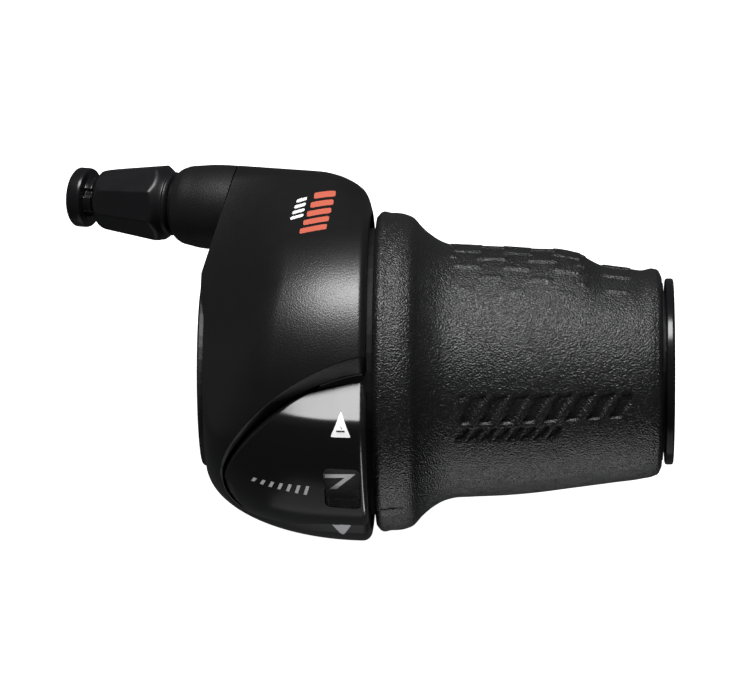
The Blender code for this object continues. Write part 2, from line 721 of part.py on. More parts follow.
def make_cable_guide():
    """Low-friction elbow that leads the inner cable from the outlet to the drum."""
    near = cable_axis_at(3.6 * MM)
    path = bezier([
        near, near - 6.5 * MM * CABLE_DIRECTION, Vector((12.0, 24.4, -0.9)) * MM,
        Vector((11.6, 21.9, 1.9)) * MM,
    ], 9)
    return tube_along("cable_guide", path, 1.7 * MM, 0.9 * MM, "white_plastic", segments=10)


# ---- cable outlet and adjuster --------------------------------------------------------------
def cable_frame():
    """Matrix that stands local X on the cable's axis, pointing out of the shifter."""
    side = CABLE_DIRECTION.cross(Vector((0.0, 1.0, 0.0))).normalized()
    up = side.cross(CABLE_DIRECTION)
    turn = Matrix((CABLE_DIRECTION, up, side)).transposed().to_4x4()
    return Matrix.Translation(CABLE_POINT) @ turn


def make_outlet_sleeve(axis):
    """Matte sleeve that holds the adjuster, with a spigot inside the cover's tunnel."""
    profile = [
        (-8.6, 3.6), (-2.6, 3.6), (-2.6, 4.9), (5.2, 4.9), (5.2, 5.2), (4.3, 5.85), (3.0, 6.3),
        (0.0, 6.55), (-3.0, 6.85), (-6.0, 6.95), (-8.6, 6.95),
    ]
    return turned("outlet_sleeve", millimetres(profile), "matte_black", segments=38, parent=axis)


def trim_outlet_sleeve(sleeve):
    """Cut the sleeve back to the seam, outside a thinner spigot."""
    keep = make_cutter(boxed("sleeve_seam", (0, -30 * MM, -30 * MM), (40 * MM, 30 * MM, 30 * MM)))
    clear_seam = Matrix.Translation(SEAM_POINT + SEAM_NORMAL * GAP)
    keep.matrix_world = clear_seam @ Matrix.Rotation(SEAM_TURN, 4, "Z")
    spigot = make_cutter(turned("spigot_core", [
        (-14.0 * MM, 0.0), (8.0 * MM, 0.0), (8.0 * MM, SPIGOT_RADIUS), (-14.0 * MM, SPIGOT_RADIUS),
    ], "grey_plastic", segments=40))
    spigot.matrix_world = cable_frame()
    combine(keep, spigot)
    combine(sleeve, keep)
    return sleeve


def make_adjuster_nut(axis):
    profile = ring_profile(-2.2 * MM, 1.2 * MM, 3.2 * MM, 4.6 * MM)
    return turned("adjuster_nut", profile, "brass", segments=32, parent=axis)


def make_adjuster_spring(axis):
    """Compression spring that keeps the barrel from creeping."""
    turns, start, end, radius = 4.0, 1.9 * MM, 4.5 * MM, 4.0 * MM
    count = 48
    path = []
    for index in range(count + 1):
        t = index / count
        angle = 2.0 * math.pi * turns * t
        x = start + (end - start) * t
        path.append(Vector((x, radius * math.cos(angle), radius * math.sin(angle))))
    return tube_along("adjuster_spring", path, 0.22 * MM, 0.0, "steel", segments=5, parent=axis)


def make_adjuster_barrel(axis):
    """Eight-sided tapered thumb barrel on a threaded stem."""
    profile = [
        (-4.0, 2.6), (19.4, 2.6), (19.4, 3.3), (19.2, 4.1), (18.4, 4.8), (16.8, 5.45), (8.8, 6.75),
        (8.5, 6.7), (6.45, 5.2), (5.9, 5.0), (5.8, 4.6), (5.6, 4.3), (5.5, 2.95), (-4.0, 2.95),
    ]
    barrel = turned("adjuster_barrel", millimetres(profile), "matte_black", segments=36, parent=axis)
    flats = make_cutter(barrel_flats())
    return combine(barrel, flats)


def barrel_flats():
    """Ring with a tapered eight-sided hole, which planes the flats on the barrel."""
    bm = bmesh.new()
    frame = cable_frame()
    rings = []
    for t, apothem in ((6.4, 6.2), (21.0, 4.35)):
        reach = apothem * MM / math.cos(math.pi / FLAT_COUNT)
        for radius in (reach, 12.0 * MM):
            ring = []
            for k in range(FLAT_COUNT):
                angle = FIRST_EDGE + 2.0 * math.pi * k / FLAT_COUNT
                local = Vector((t * MM, radius * math.cos(angle), radius * math.sin(angle)))
                ring.append(bm.verts.new(frame @ local))
            rings.append(ring)
    hole_near, rim_near, hole_far, rim_far = rings
    for a, b in ((hole_near, hole_far), (rim_near, rim_far), (hole_near, rim_near), (hole_far, rim_far)):
        for i in range(FLAT_COUNT):
            j = (i + 1) % FLAT_COUNT
            bm.faces.new((a[i], a[j], b[j], b[i]))
    return finish_mesh("barrel_flats", bm, "grey_plastic")


def make_adjuster_o_ring(axis):
    middle, ring, wire = 5.05 * MM, 3.85 * MM, 0.5 * MM
    profile = []
    for index in range(6):
        angle = 2.0 * math.pi * index / 6
        profile.append((middle + wire * math.cos(angle) * 0.7, ring + wire * math.sin(angle)))
    return turned("adjuster_o_ring", profile, "rubber_black", segments=24, parent=axis)


def make_casing_plug(axis):
    """Flanged transit plug in the barrel's mouth, where the outer casing goes."""
    profile = [
        (12.0, 0.0), (23.7, 0.0), (23.7, 4.3), (23.2, 4.85), (21.6, 4.9), (21.1, 4.6), (21.1, 2.7),
        (19.75, 2.7), (19.75, 2.25), (12.4, 2.25), (12.0, 1.9),
    ]
    plug = turned("casing_plug", millimetres(profile), "gloss_black", segments=32, parent=axis)
    for number in range(RIB_COUNT):
        rib = make_cutter(boxed(
            f"plug_rib_{number}", (19.8 * MM, -1.3 * MM, 2.2 * MM), (21.6 * MM, 1.3 * MM, 3.2 * MM),
        ))
        turn = FIRST_RIB + 2.0 * math.pi * number / RIB_COUNT
        rib.matrix_world = cable_frame() @ Matrix.Rotation(turn, 4, "X")
        combine(plug, rib, "UNION")
    return plug


# ---- assembly -------------------------------------------------------------------------------
def main():
    clear_scene()
    grip_axis = empty_on_axis("grip_axis", Matrix.Identity(4))
    cable_axis = empty_on_axis("cable_axis", cable_frame())

    make_bracket()
    make_clamp_bolt()
    make_clamp_nut()
    make_end_ring()
    make_thrust_washer()

    cavity = make_cavity()
    holes = make_screw_holes()
    front_form = housing_solid("housing_cover", HOUSING_START, HOUSING_END, 0.0, "gloss_black")
    rear_form = housing_solid("lower_cover", HOUSING_START, HOUSING_END, 0.0, "matte_black")
    make_housing_cover(front_form, cavity, holes)
    make_lower_cover(rear_form, cavity, holes)
    make_indicator_panel()
    make_window_lens()
    make_access_plug()
    for index, (x, y) in enumerate(SCREW_PLACES, start=1):
        make_cover_screw(index, x, y)

    make_grip_sleeve(grip_axis)
    make_grip_core(grip_axis)
    make_number_ring(grip_axis)
    make_cable_drum(grip_axis)
    make_index_ring(grip_axis)
    make_detent_spring()
    make_cable_guide()

    trim_outlet_sleeve(make_outlet_sleeve(cable_axis))
    make_adjuster_nut(cable_axis)
    make_adjuster_spring(cable_axis)
    make_adjuster_barrel(cable_axis)
    make_adjuster_o_ring(cable_axis)
    make_casing_plug(cable_axis)


main()
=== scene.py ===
import json
import math

import bmesh
import bpy
import numpy as np
from mathutils import Matrix, Vector


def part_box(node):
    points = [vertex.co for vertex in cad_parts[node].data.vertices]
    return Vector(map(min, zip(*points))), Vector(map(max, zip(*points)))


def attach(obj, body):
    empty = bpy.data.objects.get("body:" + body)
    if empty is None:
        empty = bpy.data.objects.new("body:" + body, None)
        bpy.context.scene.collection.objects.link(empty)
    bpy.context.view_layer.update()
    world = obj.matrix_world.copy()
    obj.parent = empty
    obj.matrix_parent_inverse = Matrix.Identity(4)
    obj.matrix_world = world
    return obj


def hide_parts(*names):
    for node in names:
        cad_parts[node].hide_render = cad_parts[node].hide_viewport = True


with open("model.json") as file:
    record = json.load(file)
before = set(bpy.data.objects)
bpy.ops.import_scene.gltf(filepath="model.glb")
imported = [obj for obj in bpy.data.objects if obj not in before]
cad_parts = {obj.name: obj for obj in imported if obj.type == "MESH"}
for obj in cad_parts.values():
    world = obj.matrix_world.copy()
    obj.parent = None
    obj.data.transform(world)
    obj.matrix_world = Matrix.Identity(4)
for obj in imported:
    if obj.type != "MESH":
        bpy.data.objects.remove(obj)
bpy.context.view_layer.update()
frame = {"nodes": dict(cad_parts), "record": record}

# Twist-grip gear shifter.  X runs along the handlebar, +Z faces the rider and +Y points forwards.
# Angles round the bar are measured from +Z towards +Y.  Lengths are in millimetres until a mesh
# is made, where MM turns them into the frame's metres.
MM = 0.001
NODES = frame["nodes"]
JOINTS = {joint["name"]: joint for joint in frame["record"]["behaviour"]["joints"]}


def corners(node):
    """Lowest and highest corner of a CAD node, in millimetres."""
    low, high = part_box(node)
    return np.array(low) / MM, np.array(high) / MM


# ---- sizes taken from the frame ---------------------------------------------------------------
HOUSING_START, _, LOWEST = corners("lower_cover")[0]
HOUSING_END = corners("indicator_panel")[1][0]
HOUSING_RADIUS = -LOWEST
GRIP_START, GRIP_END = (corner[0] for corner in corners("grip_sleeve"))
RING_START, RING_END = (corner[0] for corner in corners("end_ring"))
RING_RADIUS = corners("end_ring")[1][1]
COLLAR_RADIUS = RING_RADIUS + 0.2
NUMBER_START, NUMBER_END = (corner[0] for corner in corners("number_ring"))
NUMBER_RADIUS = corners("number_ring")[1][2]
CABLE_POINT = np.array(JOINTS["adjuster_turn"]["pos_m"]) / MM
CABLE_DIRECTION = np.array(JOINTS["adjuster_turn"]["axis"])
GEAR_COUNT = 7
GEAR_PITCH = math.radians(JOINTS["grip_turn"]["range_deg"][1] / (GEAR_COUNT - 1))

# ---- the housing's form -----------------------------------------------------------------------
HOUSING_NECK = 15.0
HOUSING_SWELL = 26.0
HOUSING_WIDEST = HOUSING_END - 0.6
SHOULDER_NECK = 15.9
CROWN_DROP = 3.0                  # how far the rider's side falls over the crown's length
CROWN_LENGTH = 16.0
BAND_LENGTH = 4.4                 # slanted band between the crease and the steeper shoulder
BAND_SLOPE = 0.80
CREASE_PLACE = 4.45               # X of the crease on the rider's side, and how far it leans per degree
CREASE_LEAN = 0.062
CREASE_SPAN = (-14.0, 36.0)       # it leans between these angles, in degrees
SHOULDER_FADES = ((-30.0, -8.0), (35.0, 68.0))   # degrees over which the shoulder comes and goes
SPLIT_HEIGHT = -10.0              # the plane between the covers
WALL = 1.6
GAP = 0.3                         # between neighbouring pieces
TUNNEL_RADIUS = 7.0
TUNNEL_ROUNDING_START = 13.0
TUNNEL_ROUNDING_LENGTH = 9.3
TUNNEL_ROUNDING_DEPTH = 5.5
TUNNEL_SPAN = (25.0, 195.0)       # the tunnel changes the section between these angles, in degrees
SEAM_PLACE = (-1.9, 26.4)         # the slanted seam between cover and sleeve: a point, and X per Y
SEAM_LEAN = 0.2917
INNER_CLEARANCE = NUMBER_RADIUS + 0.6   # nothing of the covers dips below this near the numbers

PANEL_FACING = math.radians(-37.0)  # the panel's outline is drawn as seen from this angle
PANEL_END = HOUSING_END + 0.37
PANEL_LENGTH = 23.4
PANEL_CORNER = 4.8                # X at which the lower edge stops curving
PANEL_MIDDLE = -6.0               # heights of the tip, the crown and the lower edge in that view
PANEL_TOP = 16.0
PANEL_BOTTOM = -14.9
PANEL_BOTTOM_END = -12.8
CROWN_BULGE = 1.7                 # superellipse powers of the crown and the lower corner
CORNER_BULGE = 2.2
PANEL_PROUD = 1.35                # the display pillow stands this far above the body
FACET_FACING = math.radians(27.0)   # its upper part is planed to a facet that faces this way
FACET_KNEE = -8.4                 # the facet starts at this Y
FACET_CROWN = 0.0105              # how fast it falls inboard, per square millimetre
FACET_FADE = (-2.0, 17.0)         # between these X the facet fades in, from this far above it
FACET_LIFT = 1.7


def smooth_step(value, low, high):
    """Zero below low, one above high and a smooth rise between them."""
    t = np.clip((value - low) / (high - low), 0.0, 1.0)
    return t * t * (3.0 - 2.0 * t)


def soft_min(a, b, width):
    """Smaller of two heights, rounded off over a width where they cross."""
    h = np.clip(0.5 + 0.5 * (b - a) / width, 0.0, 1.0)
    return b + (a - b) * h - width * h * (1.0 - h)


def soft_ramp(value, width):
    """Zero below zero and the value itself above, rounded off between."""
    return -soft_min(-value, 0.0 * value, width)


def quarter_round(distance, radius):
    """How far a rounded edge has fallen, at a distance in from that edge."""
    t = np.clip(radius - distance, 0.0, radius)
    return radius - np.sqrt(radius * radius - t * t)


def barrel_radius(x):
    """Radius of the round body where nothing is taken off its shoulder."""
    run = np.clip((HOUSING_WIDEST - x) / HOUSING_SWELL, 0.0, 1.0)
    return HOUSING_NECK + (HOUSING_RADIUS - HOUSING_NECK) * np.sqrt(1.0 - run * run)


def body_radius(x, angle):
    """Round body: barrel-shaped, with a creased shoulder where it faces the rider."""
    degrees = np.degrees(angle)
    crease = CREASE_PLACE + CREASE_LEAN * np.clip(degrees, *CREASE_SPAN)
    crown = HOUSING_RADIUS - CROWN_DROP * (np.clip(HOUSING_WIDEST - x, 0.0, 30.0) / CROWN_LENGTH) ** 2
    high = HOUSING_RADIUS - CROWN_DROP * ((HOUSING_WIDEST - crease) / CROWN_LENGTH) ** 2
    knee = crease - BAND_LENGTH
    low = high - BAND_LENGTH * BAND_SLOPE
    band = high + (x - crease) * BAND_SLOPE
    steep = low + (x - knee) * (low - SHOULDER_NECK) / (knee - HOUSING_START)
    shoulder = soft_min(soft_min(steep, band, 0.7), crown, 1.1)
    comes, goes = SHOULDER_FADES
    facing = smooth_step(degrees, *comes) * (1.0 - smooth_step(degrees, *goes))
    barrel = barrel_radius(x)
    return barrel + (shoulder - barrel) * facing


def support_over(x, angle, lean):
    """Support distance of body and cable tunnel, seen from a radius that leans off its normal."""
    facing = angle + lean
    facing = np.arctan2(np.sin(facing), np.cos(facing))
    travel = (x - CABLE_POINT[0]) / CABLE_DIRECTION[0]
    centre_y = CABLE_POINT[1] + CABLE_DIRECTION[1] * travel
    centre_z = CABLE_POINT[2] + CABLE_DIRECTION[2] * travel
    run = np.clip((x - TUNNEL_ROUNDING_START) / TUNNEL_ROUNDING_LENGTH, 0.0, 1.0)
    tunnel = TUNNEL_RADIUS - TUNNEL_ROUNDING_DEPTH * (1.0 - np.sqrt(1.0 - run * run))
    reach = centre_y * np.sin(facing) + centre_z * np.cos(facing) + tunnel
    return np.maximum(body_radius(x, facing), reach) / np.cos(lean)


def section_radius(x, angle):
    """Radius of the convex outline drawn round the body and the cable tunnel."""
    x, angle = np.broadcast_arrays(np.asarray(x, float), np.asarray(angle, float))
    result = body_radius(x, angle)
    turned = np.degrees(angle) % 360.0
    near = (turned > TUNNEL_SPAN[0]) & (turned < TUNNEL_SPAN[1])
    if not near.any():
        return result
    px, pa = x[near], angle[near]
    step = 3.0
    leans = np.radians(np.arange(-78.0, 79.0, step))
    values = np.stack([support_over(px, pa, lean) for lean in leans])
    best = leans[np.argmin(values, axis=0)]
    low, high = best - math.radians(step), best + math.radians(step)
    golden = 0.6180339887         # golden-section search for the smallest support
    for _ in range(20):
        left, right = high - golden * (high - low), low + golden * (high - low)
        smaller = support_over(px, pa, left) < support_over(px, pa, right)
        high = np.where(smaller, right, high)
        low = np.where(smaller, low, left)
    result = result.copy()
    result[near] = support_over(px, pa, (low + high) / 2.0)
    return result


def around_bar(x, radius, angle):
    """Points given by X, distance from the bar's axis and angle round it."""
    return np.stack(np.broadcast_arrays(x, radius * np.sin(angle), radius * np.cos(angle)), axis=-1)


def from_bar(points):
    """Distance from the bar's axis and angle round it of an array of points."""
    return np.hypot(points[:, 1], points[:, 2]), np.arctan2(points[:, 1], points[:, 2])


# ---- the display panel's outline, in X and arc length on the housing's largest radius -----------
def teardrop(steps):
    """Dense outline from the top outboard corner, round the crown, to the bottom outboard corner."""
    tip = PANEL_END - PANEL_LENGTH
    t = np.radians(90.0 * (np.arange(steps + 1) / steps) ** 1.3)
    x1 = PANEL_END - PANEL_LENGTH * np.sin(t) ** (2.0 / CROWN_BULGE)
    h1 = PANEL_MIDDLE + (PANEL_TOP - PANEL_MIDDLE) * np.cos(t) ** (2.0 / CROWN_BULGE)
    t = np.radians(90.0 * np.arange(1, steps // 2 + 1) / (steps // 2))
    x2 = PANEL_CORNER - (PANEL_CORNER - tip) * np.cos(t) ** (2.0 / CORNER_BULGE)
    h2 = PANEL_MIDDLE - (PANEL_MIDDLE - PANEL_BOTTOM) * np.sin(t) ** (2.0 / CORNER_BULGE)
    t = np.arange(1, steps // 3 + 1) / (steps // 3)
    x3 = PANEL_CORNER + (PANEL_END - PANEL_CORNER) * t
    h3 = PANEL_BOTTOM + (PANEL_BOTTOM_END - PANEL_BOTTOM) * smooth_step(t, 0.0, 0.75)
    x = np.concatenate([x1, x2, x3])
    height = np.concatenate([h1, h2, h3])
    angle = np.full_like(x, PANEL_FACING)
    for _ in range(12):
        angle = np.arcsin(height / body_radius(x, angle)) + PANEL_FACING
    keep = x <= HOUSING_END + 0.25
    return np.stack([x[keep], angle[keep] * HOUSING_RADIUS], axis=1)


OUTLINE = teardrop(120)
TIP = int(np.argmin(OUTLINE[:, 0]))


def distance_to(line, x, angle):
    """Distance from points on the housing to a line drawn on it."""
    px, ps = np.ravel(x), np.ravel(angle) * HOUSING_RADIUS
    best = np.full(px.shape, 1e3)
    for (ax, ay), (bx, by) in zip(line, line[1:]):
        dx, dy = bx - ax, by - ay
        t = np.clip(((px - ax) * dx + (ps - ay) * dy) / (dx * dx + dy * dy), 0.0, 1.0)
        best = np.minimum(best, np.hypot(px - ax - t * dx, ps - ay - t * dy))
    return best.reshape(np.shape(x))


WIDENING_START, WIDENING_LENGTH = -1.2, 23.0   # bevel and pillow grow outboard over this stretch
BEVEL_THIN, BEVEL_GROWTH = 0.5, 2.3


def widening(x, most=1.0):
    """How far along the panel X lies, from zero at its tip to one at the rim."""
    return np.clip((x - WIDENING_START) / WIDENING_LENGTH, 0.0, most)


def bevel_width(x):
    """Width of the bevel round the panel, broad outboard and thin at the tip."""
    return BEVEL_THIN + BEVEL_GROWTH * widening(x, 1.1) ** 0.6


PANEL_INSET = 0.08                # between the outline and the panel's edge
BEVEL_SLOPE = 0.76                # of the cover's bevel round the panel, above and below it
LOWER_BEVEL_SLOPE = 0.22
COVER_CORNER = 1.2                # the cover's corner between panel and rim is cut back this far
GROOVE_EDGE = 0.18                # radii of rounded edges
PANEL_EDGE = 0.22
RIM_EDGE = 1.5
PANEL_RIM = 1.3


def keep_clear(x, height):
    """Keep the covers off the number ring; inboard of it they may dip further."""
    return np.maximum(height, INNER_CLEARANCE - np.maximum(NUMBER_START - 0.5 - x, 0.0))


def cover_height(x, angle):
    """Outer surface of the front cover."""
    x, angle = np.broadcast_arrays(np.asarray(x, float), np.asarray(angle, float))
    height = np.array(section_radius(x, angle))
    degrees = np.degrees(angle)
    near = (degrees < 16.0) & (degrees > -125.0)
    if near.any():
        nx, na = x[near], angle[near]
        away = np.maximum(distance_to(OUTLINE, nx, na) - GAP, 0.0)
        below = smooth_step(-np.degrees(na), 48.0, 62.0)
        slope = BEVEL_SLOPE - (BEVEL_SLOPE - LOWER_BEVEL_SLOPE) * below
        fall = slope * soft_ramp(bevel_width(nx) - away, 0.12)
        from_panel = np.clip(COVER_CORNER - away, 0, COVER_CORNER)
        from_rim = np.clip(COVER_CORNER - HOUSING_END + nx, 0, COVER_CORNER)
        fall += 3.0 * np.clip(np.hypot(from_panel, from_rim) - COVER_CORNER, 0.0, 1.0)
        fall += quarter_round(away, GROOVE_EDGE)
        height[near] -= fall
    height -= quarter_round(HOUSING_END - x, RIM_EDGE)
    return keep_clear(x, height)


def panel_height(x, angle):
    """Outer surface of the glossy display panel, a pillow that stands a little proud."""
    x, angle = np.broadcast_arrays(np.asarray(x, float), np.asarray(angle, float))
    top = np.maximum(distance_to(OUTLINE[:TIP + 1], x, angle) - PANEL_INSET, 0.0)
    low = np.maximum(distance_to(OUTLINE[TIP:], x, angle) - PANEL_INSET, 0.0)
    edge = np.minimum(top, low)
    pillow = barrel_radius(x) + PANEL_PROUD * widening(x) ** 0.7 * smooth_step(low, -2.0, 8.0)
    widest = HOUSING_RADIUS + PANEL_PROUD
    depth = widest * np.cos(np.arcsin(FACET_KNEE / widest) - FACET_FACING)
    depth = depth - FACET_CROWN * np.maximum(HOUSING_WIDEST - x, 0.0) ** 2
    facet = depth / np.maximum(np.cos(angle - FACET_FACING), 0.2)
    facet = facet + FACET_LIFT * (1.0 - smooth_step(x, *FACET_FADE))
    height = soft_min(pillow, facet, 0.9)
    height -= 0.5 * smooth_step(1.6 - edge, 0.0, 1.6) * (top > edge)
    height -= quarter_round(edge, PANEL_EDGE) + quarter_round(HOUSING_END - x, PANEL_RIM)
    return keep_clear(x, height)


# ---- mesh helpers -------------------------------------------------------------------------------
def new_piece(name, mesh, look, body, slot, *instead):
    """Link a mesh as a piece that rides on a body, and stands for CAD nodes if any are named."""
    piece = bpy.data.objects.new(name, mesh)
    bpy.context.collection.objects.link(piece)
    mesh.materials.clear()
    mesh.materials.append(look)
    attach(piece, body)
    if instead:
        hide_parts(*instead)
    return piece


def mesh_from(name, points, faces):
    """Mesh of points in millimetres."""
    mesh = bpy.data.meshes.new(name)
    mesh.from_pydata((np.asarray(points) * MM).tolist(), [], [list(face) for face in faces])
    mesh.validate()
    mesh.update()
    return mesh


def grid_faces(rows, columns, first=0, wrap_rows=False, wrap_columns=False):
    """Quads of a grid whose vertices are numbered row by row."""
    faces = []
    for i in range(rows if wrap_rows else rows - 1):
        near, far = first + i * columns, first + ((i + 1) % rows) * columns
        for j in range(columns if wrap_columns else columns - 1):
            k = (j + 1) % columns
            faces.append((near + j, near + k, far + k, far + j))
    return faces


def merged(points, faces):
    """Join vertices that lie in the same place."""
    keys = np.round(np.asarray(points), 4)
    _, first, back = np.unique(keys, axis=0, return_index=True, return_inverse=True)
    back = back.ravel()
    kept = []
    for face in faces:
        ring = [int(back[v]) for v in face]
        ring = [v for n, v in enumerate(ring) if v != ring[n - 1]]
        if len(set(ring)) > 2:
            kept.append(ring)
    return np.asarray(points)[first], kept, first


def shell(name, outer, inner, faces):
    """Closed mesh from an outer skin and an inner one with the same numbering."""
    outer, faces, first = merged(outer, faces)
    inner = np.asarray(inner)[first]
    count = len(outer)
    uses = {}
    for face in faces:
        for n, v in enumerate(face):
            edge = (face[n - 1], v)
            uses.setdefault(tuple(sorted(edge)), []).append(edge)
    rim = [edge[0] for edge in uses.values() if len(edge) == 1]
    back = [[v + count for v in reversed(face)] for face in faces]
    sides = [(b, a, a + count, b + count) for a, b in rim]
    return mesh_from(name, np.concatenate([outer, inner]), faces + back + sides)


def face_outwards(mesh):
    """Turn every face of a closed mesh outwards."""
    bm = bmesh.new()
    bm.from_mesh(mesh)
    bmesh.ops.recalc_face_normals(bm, faces=bm.faces)
    bm.to_mesh(mesh)
    bm.free()
    return mesh


def shade(mesh, sharp_degrees=35.0):
    """Shade smoothly, except over edges that bend more than an angle."""
    mesh.shade_smooth()
    mesh.set_sharp_from_angle(angle=math.radians(sharp_degrees))
    return mesh


def set_normals(mesh, height, tolerance=0.03):
    """Give the faces that lie on a height surface round the bar that surface's own normals."""
    count = len(mesh.vertices)
    places = np.empty(count * 3)
    mesh.vertices.foreach_get("co", places)
    places = places.reshape(-1, 3) / MM
    x = places[:, 0]
    radius, angle = from_bar(places)
    step = 0.015
    on_skin = np.abs(radius - height(x, angle)) < tolerance
    along = (height(x + step, angle) - height(np.minimum(x, x - step), angle)) / (2.0 * step)
    turn = step / radius
    around = (height(x, angle + turn) - height(x, angle - turn)) / (2.0 * step)
    normal = np.stack([
        -along, np.sin(angle) - around * np.cos(angle), np.cos(angle) + around * np.sin(angle),
    ], axis=1)
    normal /= np.linalg.norm(normal, axis=1, keepdims=True)
    shade(mesh)
    loops = np.empty(len(mesh.loops), dtype=np.int64)
    mesh.loops.foreach_get("vertex_index", loops)
    custom = np.zeros((len(loops), 3))
    for polygon in mesh.polygons:
        ring = loops[polygon.loop_start:polygon.loop_start + polygon.loop_total]
        if on_skin[ring].all():
            facing = normal[ring]
            if (facing @ np.array(polygon.normal)).min() > 0.25:
                custom[polygon.loop_start:polygon.loop_start + polygon.loop_total] = facing
    mesh.normals_split_custom_set(custom.tolist())
    return mesh


def cut(mesh, *cutters):
    """Take closed meshes away from a mesh, applied at once."""
    thing = bpy.data.objects.new("cutting", mesh)
    bpy.context.collection.objects.link(thing)
    others = []
    for cutter in cutters:
        other = bpy.data.objects.new("cutter", cutter)
        bpy.context.collection.objects.link(other)
        others.append(other)
        modifier = thing.modifiers.new("cut", "BOOLEAN")
        modifier.operation, modifier.solver, modifier.object = "DIFFERENCE", "EXACT", other
    graph = bpy.context.evaluated_depsgraph_get()
    result = bpy.data.meshes.new_from_object(thing.evaluated_get(graph))
    for other in [thing] + others:
        bpy.data.objects.remove(other, do_unlink=True)
    return result


def box_mesh(low, high):
    """Closed box between two corners."""
    xs, ys, zs = zip(low, high)
    points = [(x, y, z) for x in xs for y in ys for z in zs]
    faces = [(0, 1, 3, 2), (4, 6, 7, 5), (0, 4, 5, 1), (2, 3, 7, 6), (0, 2, 6, 4), (1, 5, 7, 3)]
    return face_outwards(mesh_from("box", points, faces))


def lathe(profile, segments, radius_at=None, start_at=None):
    """Points and faces of a closed outline of (x, radius) spun round X."""
    profile = np.asarray(profile, float)
    turn = 2.0 * np.pi * np.arange(segments) / segments
    x = np.repeat(profile[:, :1], segments, axis=1)
    radius = np.repeat(profile[:, 1:], segments, axis=1)
    if radius_at is not None:
        radius = radius_at(x, radius, turn[None, :])
    if start_at is not None:
        x = start_at(x, radius, turn[None, :])
    points = around_bar(x, radius, turn[None, :]).reshape(-1, 3)
    faces = grid_faces(len(profile), segments, wrap_rows=True, wrap_columns=True)
    return points, faces


def rounded(profile, radius, steps=4, closed=True):
    """Round each corner of an outline by a radius, or less where its sides are short."""
    pts = [np.array(p, float) for p in profile]
    out = []
    count = len(pts)
    for n, p in enumerate(pts):
        if not closed and n in (0, count - 1):
            out.append(p)
            continue
        a, b = pts[n - 1], pts[(n + 1) % count]
        reach = min(radius, np.linalg.norm(a - p) * 0.4, np.linalg.norm(b - p) * 0.4)
        start = p + (a - p) / np.linalg.norm(a - p) * reach
        end = p + (b - p) / np.linalg.norm(b - p) * reach
        for k in range(steps + 1):
            t = k / steps
            out.append((1 - t) ** 2 * start + 2 * t * (1 - t) * p + t * t * end)
    return out


def densify(outline, step=0.25, closed=True):
    """Points about a step apart along an outline; an open one stops short of its last point."""
    out = []
    for p, q in zip(outline, outline[1:] + (outline[:1] if closed else [])):
        p, q = np.array(p, float), np.array(q, float)
        pieces = max(1, int(np.linalg.norm(q - p) / step))
        out += [p + (q - p) * k / pieces for k in range(pieces)]
    return out


def curve_through(points, x):
    """Smooth curve through a few (x, y) points, read off at x."""
    points = np.asarray(points, float)
    px, py = points[:, 0], points[:, 1]
    slope = np.gradient(py, px)
    n = np.clip(np.searchsorted(px, x) - 1, 0, len(px) - 2)
    width = px[n + 1] - px[n]
    t = np.clip((x - px[n]) / width, 0.0, 1.0)
    a = (1 + 2 * t) * (1 - t) ** 2 * py[n] + t * (1 - t) ** 2 * width * slope[n]
    return a + t * t * (3 - 2 * t) * py[n + 1] + t * t * (t - 1) * width * slope[n + 1]


def cable_matrix():
    """Puts local X on the cable's axis, pointing out of the shifter, in metres."""
    out = Vector(CABLE_DIRECTION)
    side = out.cross(Vector((0.0, 1.0, 0.0))).normalized()
    turn = Matrix((out, side.cross(out), side)).transposed().to_4x4()
    return Matrix.Translation(Vector(CABLE_POINT) * MM) @ turn


CABLE_MATRIX = cable_matrix()


# ---- materials ----------------------------------------------------------------------------------
def material(name, colour, roughness, grain=(), rough_spread=0.05, tone_spread=0.15, **sockets):
    """Procedural surface: tone and roughness wander, and grain layers give fine relief.

    Each grain layer is (features per millimetre, depth in millimetres, detail).
    """
    look = bpy.data.materials.new(name)
    look.use_nodes = True
    nodes, links = look.node_tree.nodes, look.node_tree.links
    shader = nodes["Principled BSDF"]
    place = nodes.new("ShaderNodeTexCoord").outputs["Object"]
    wander = nodes.new("ShaderNodeTexNoise")
    wander.inputs["Scale"].default_value = 0.35 / MM
    wander.inputs["Detail"].default_value = 4.0
    links.new(place, wander.inputs["Vector"])
    tone = nodes.new("ShaderNodeMix")
    tone.data_type = "RGBA"
    dark = tuple(c * (1.0 - tone_spread) for c in colour)
    light = tuple(min(1.0, c * (1.0 + tone_spread)) for c in colour)
    tone.inputs["A"].default_value = (*dark, 1.0)
    tone.inputs["B"].default_value = (*light, 1.0)
    links.new(wander.outputs["Fac"], tone.inputs["Factor"])
    links.new(tone.outputs["Result"], shader.inputs["Base Color"])
    gloss = nodes.new("ShaderNodeMapRange")
    gloss.inputs["To Min"].default_value = roughness - rough_spread
    gloss.inputs["To Max"].default_value = roughness + rough_spread
    links.new(wander.outputs["Fac"], gloss.inputs["Value"])
    links.new(gloss.outputs["Result"], shader.inputs["Roughness"])
    before = None
    for scale, depth, detail in grain:
        noise = nodes.new("ShaderNodeTexNoise")
        noise.inputs["Scale"].default_value = scale / MM
        noise.inputs["Detail"].default_value = detail
        links.new(place, noise.inputs["Vector"])
        bump = nodes.new("ShaderNodeBump")
        bump.inputs["Distance"].default_value = depth * MM
        links.new(noise.outputs["Fac"], bump.inputs["Height"])
        if before:
            links.new(before.outputs["Normal"], bump.inputs["Normal"])
        before = bump
    if before:
        links.new(before.outputs["Normal"], shader.inputs["Normal"])
    for socket, value in sockets.items():
        shader.inputs[socket.replace("_", " ")].default_value = value
    return look


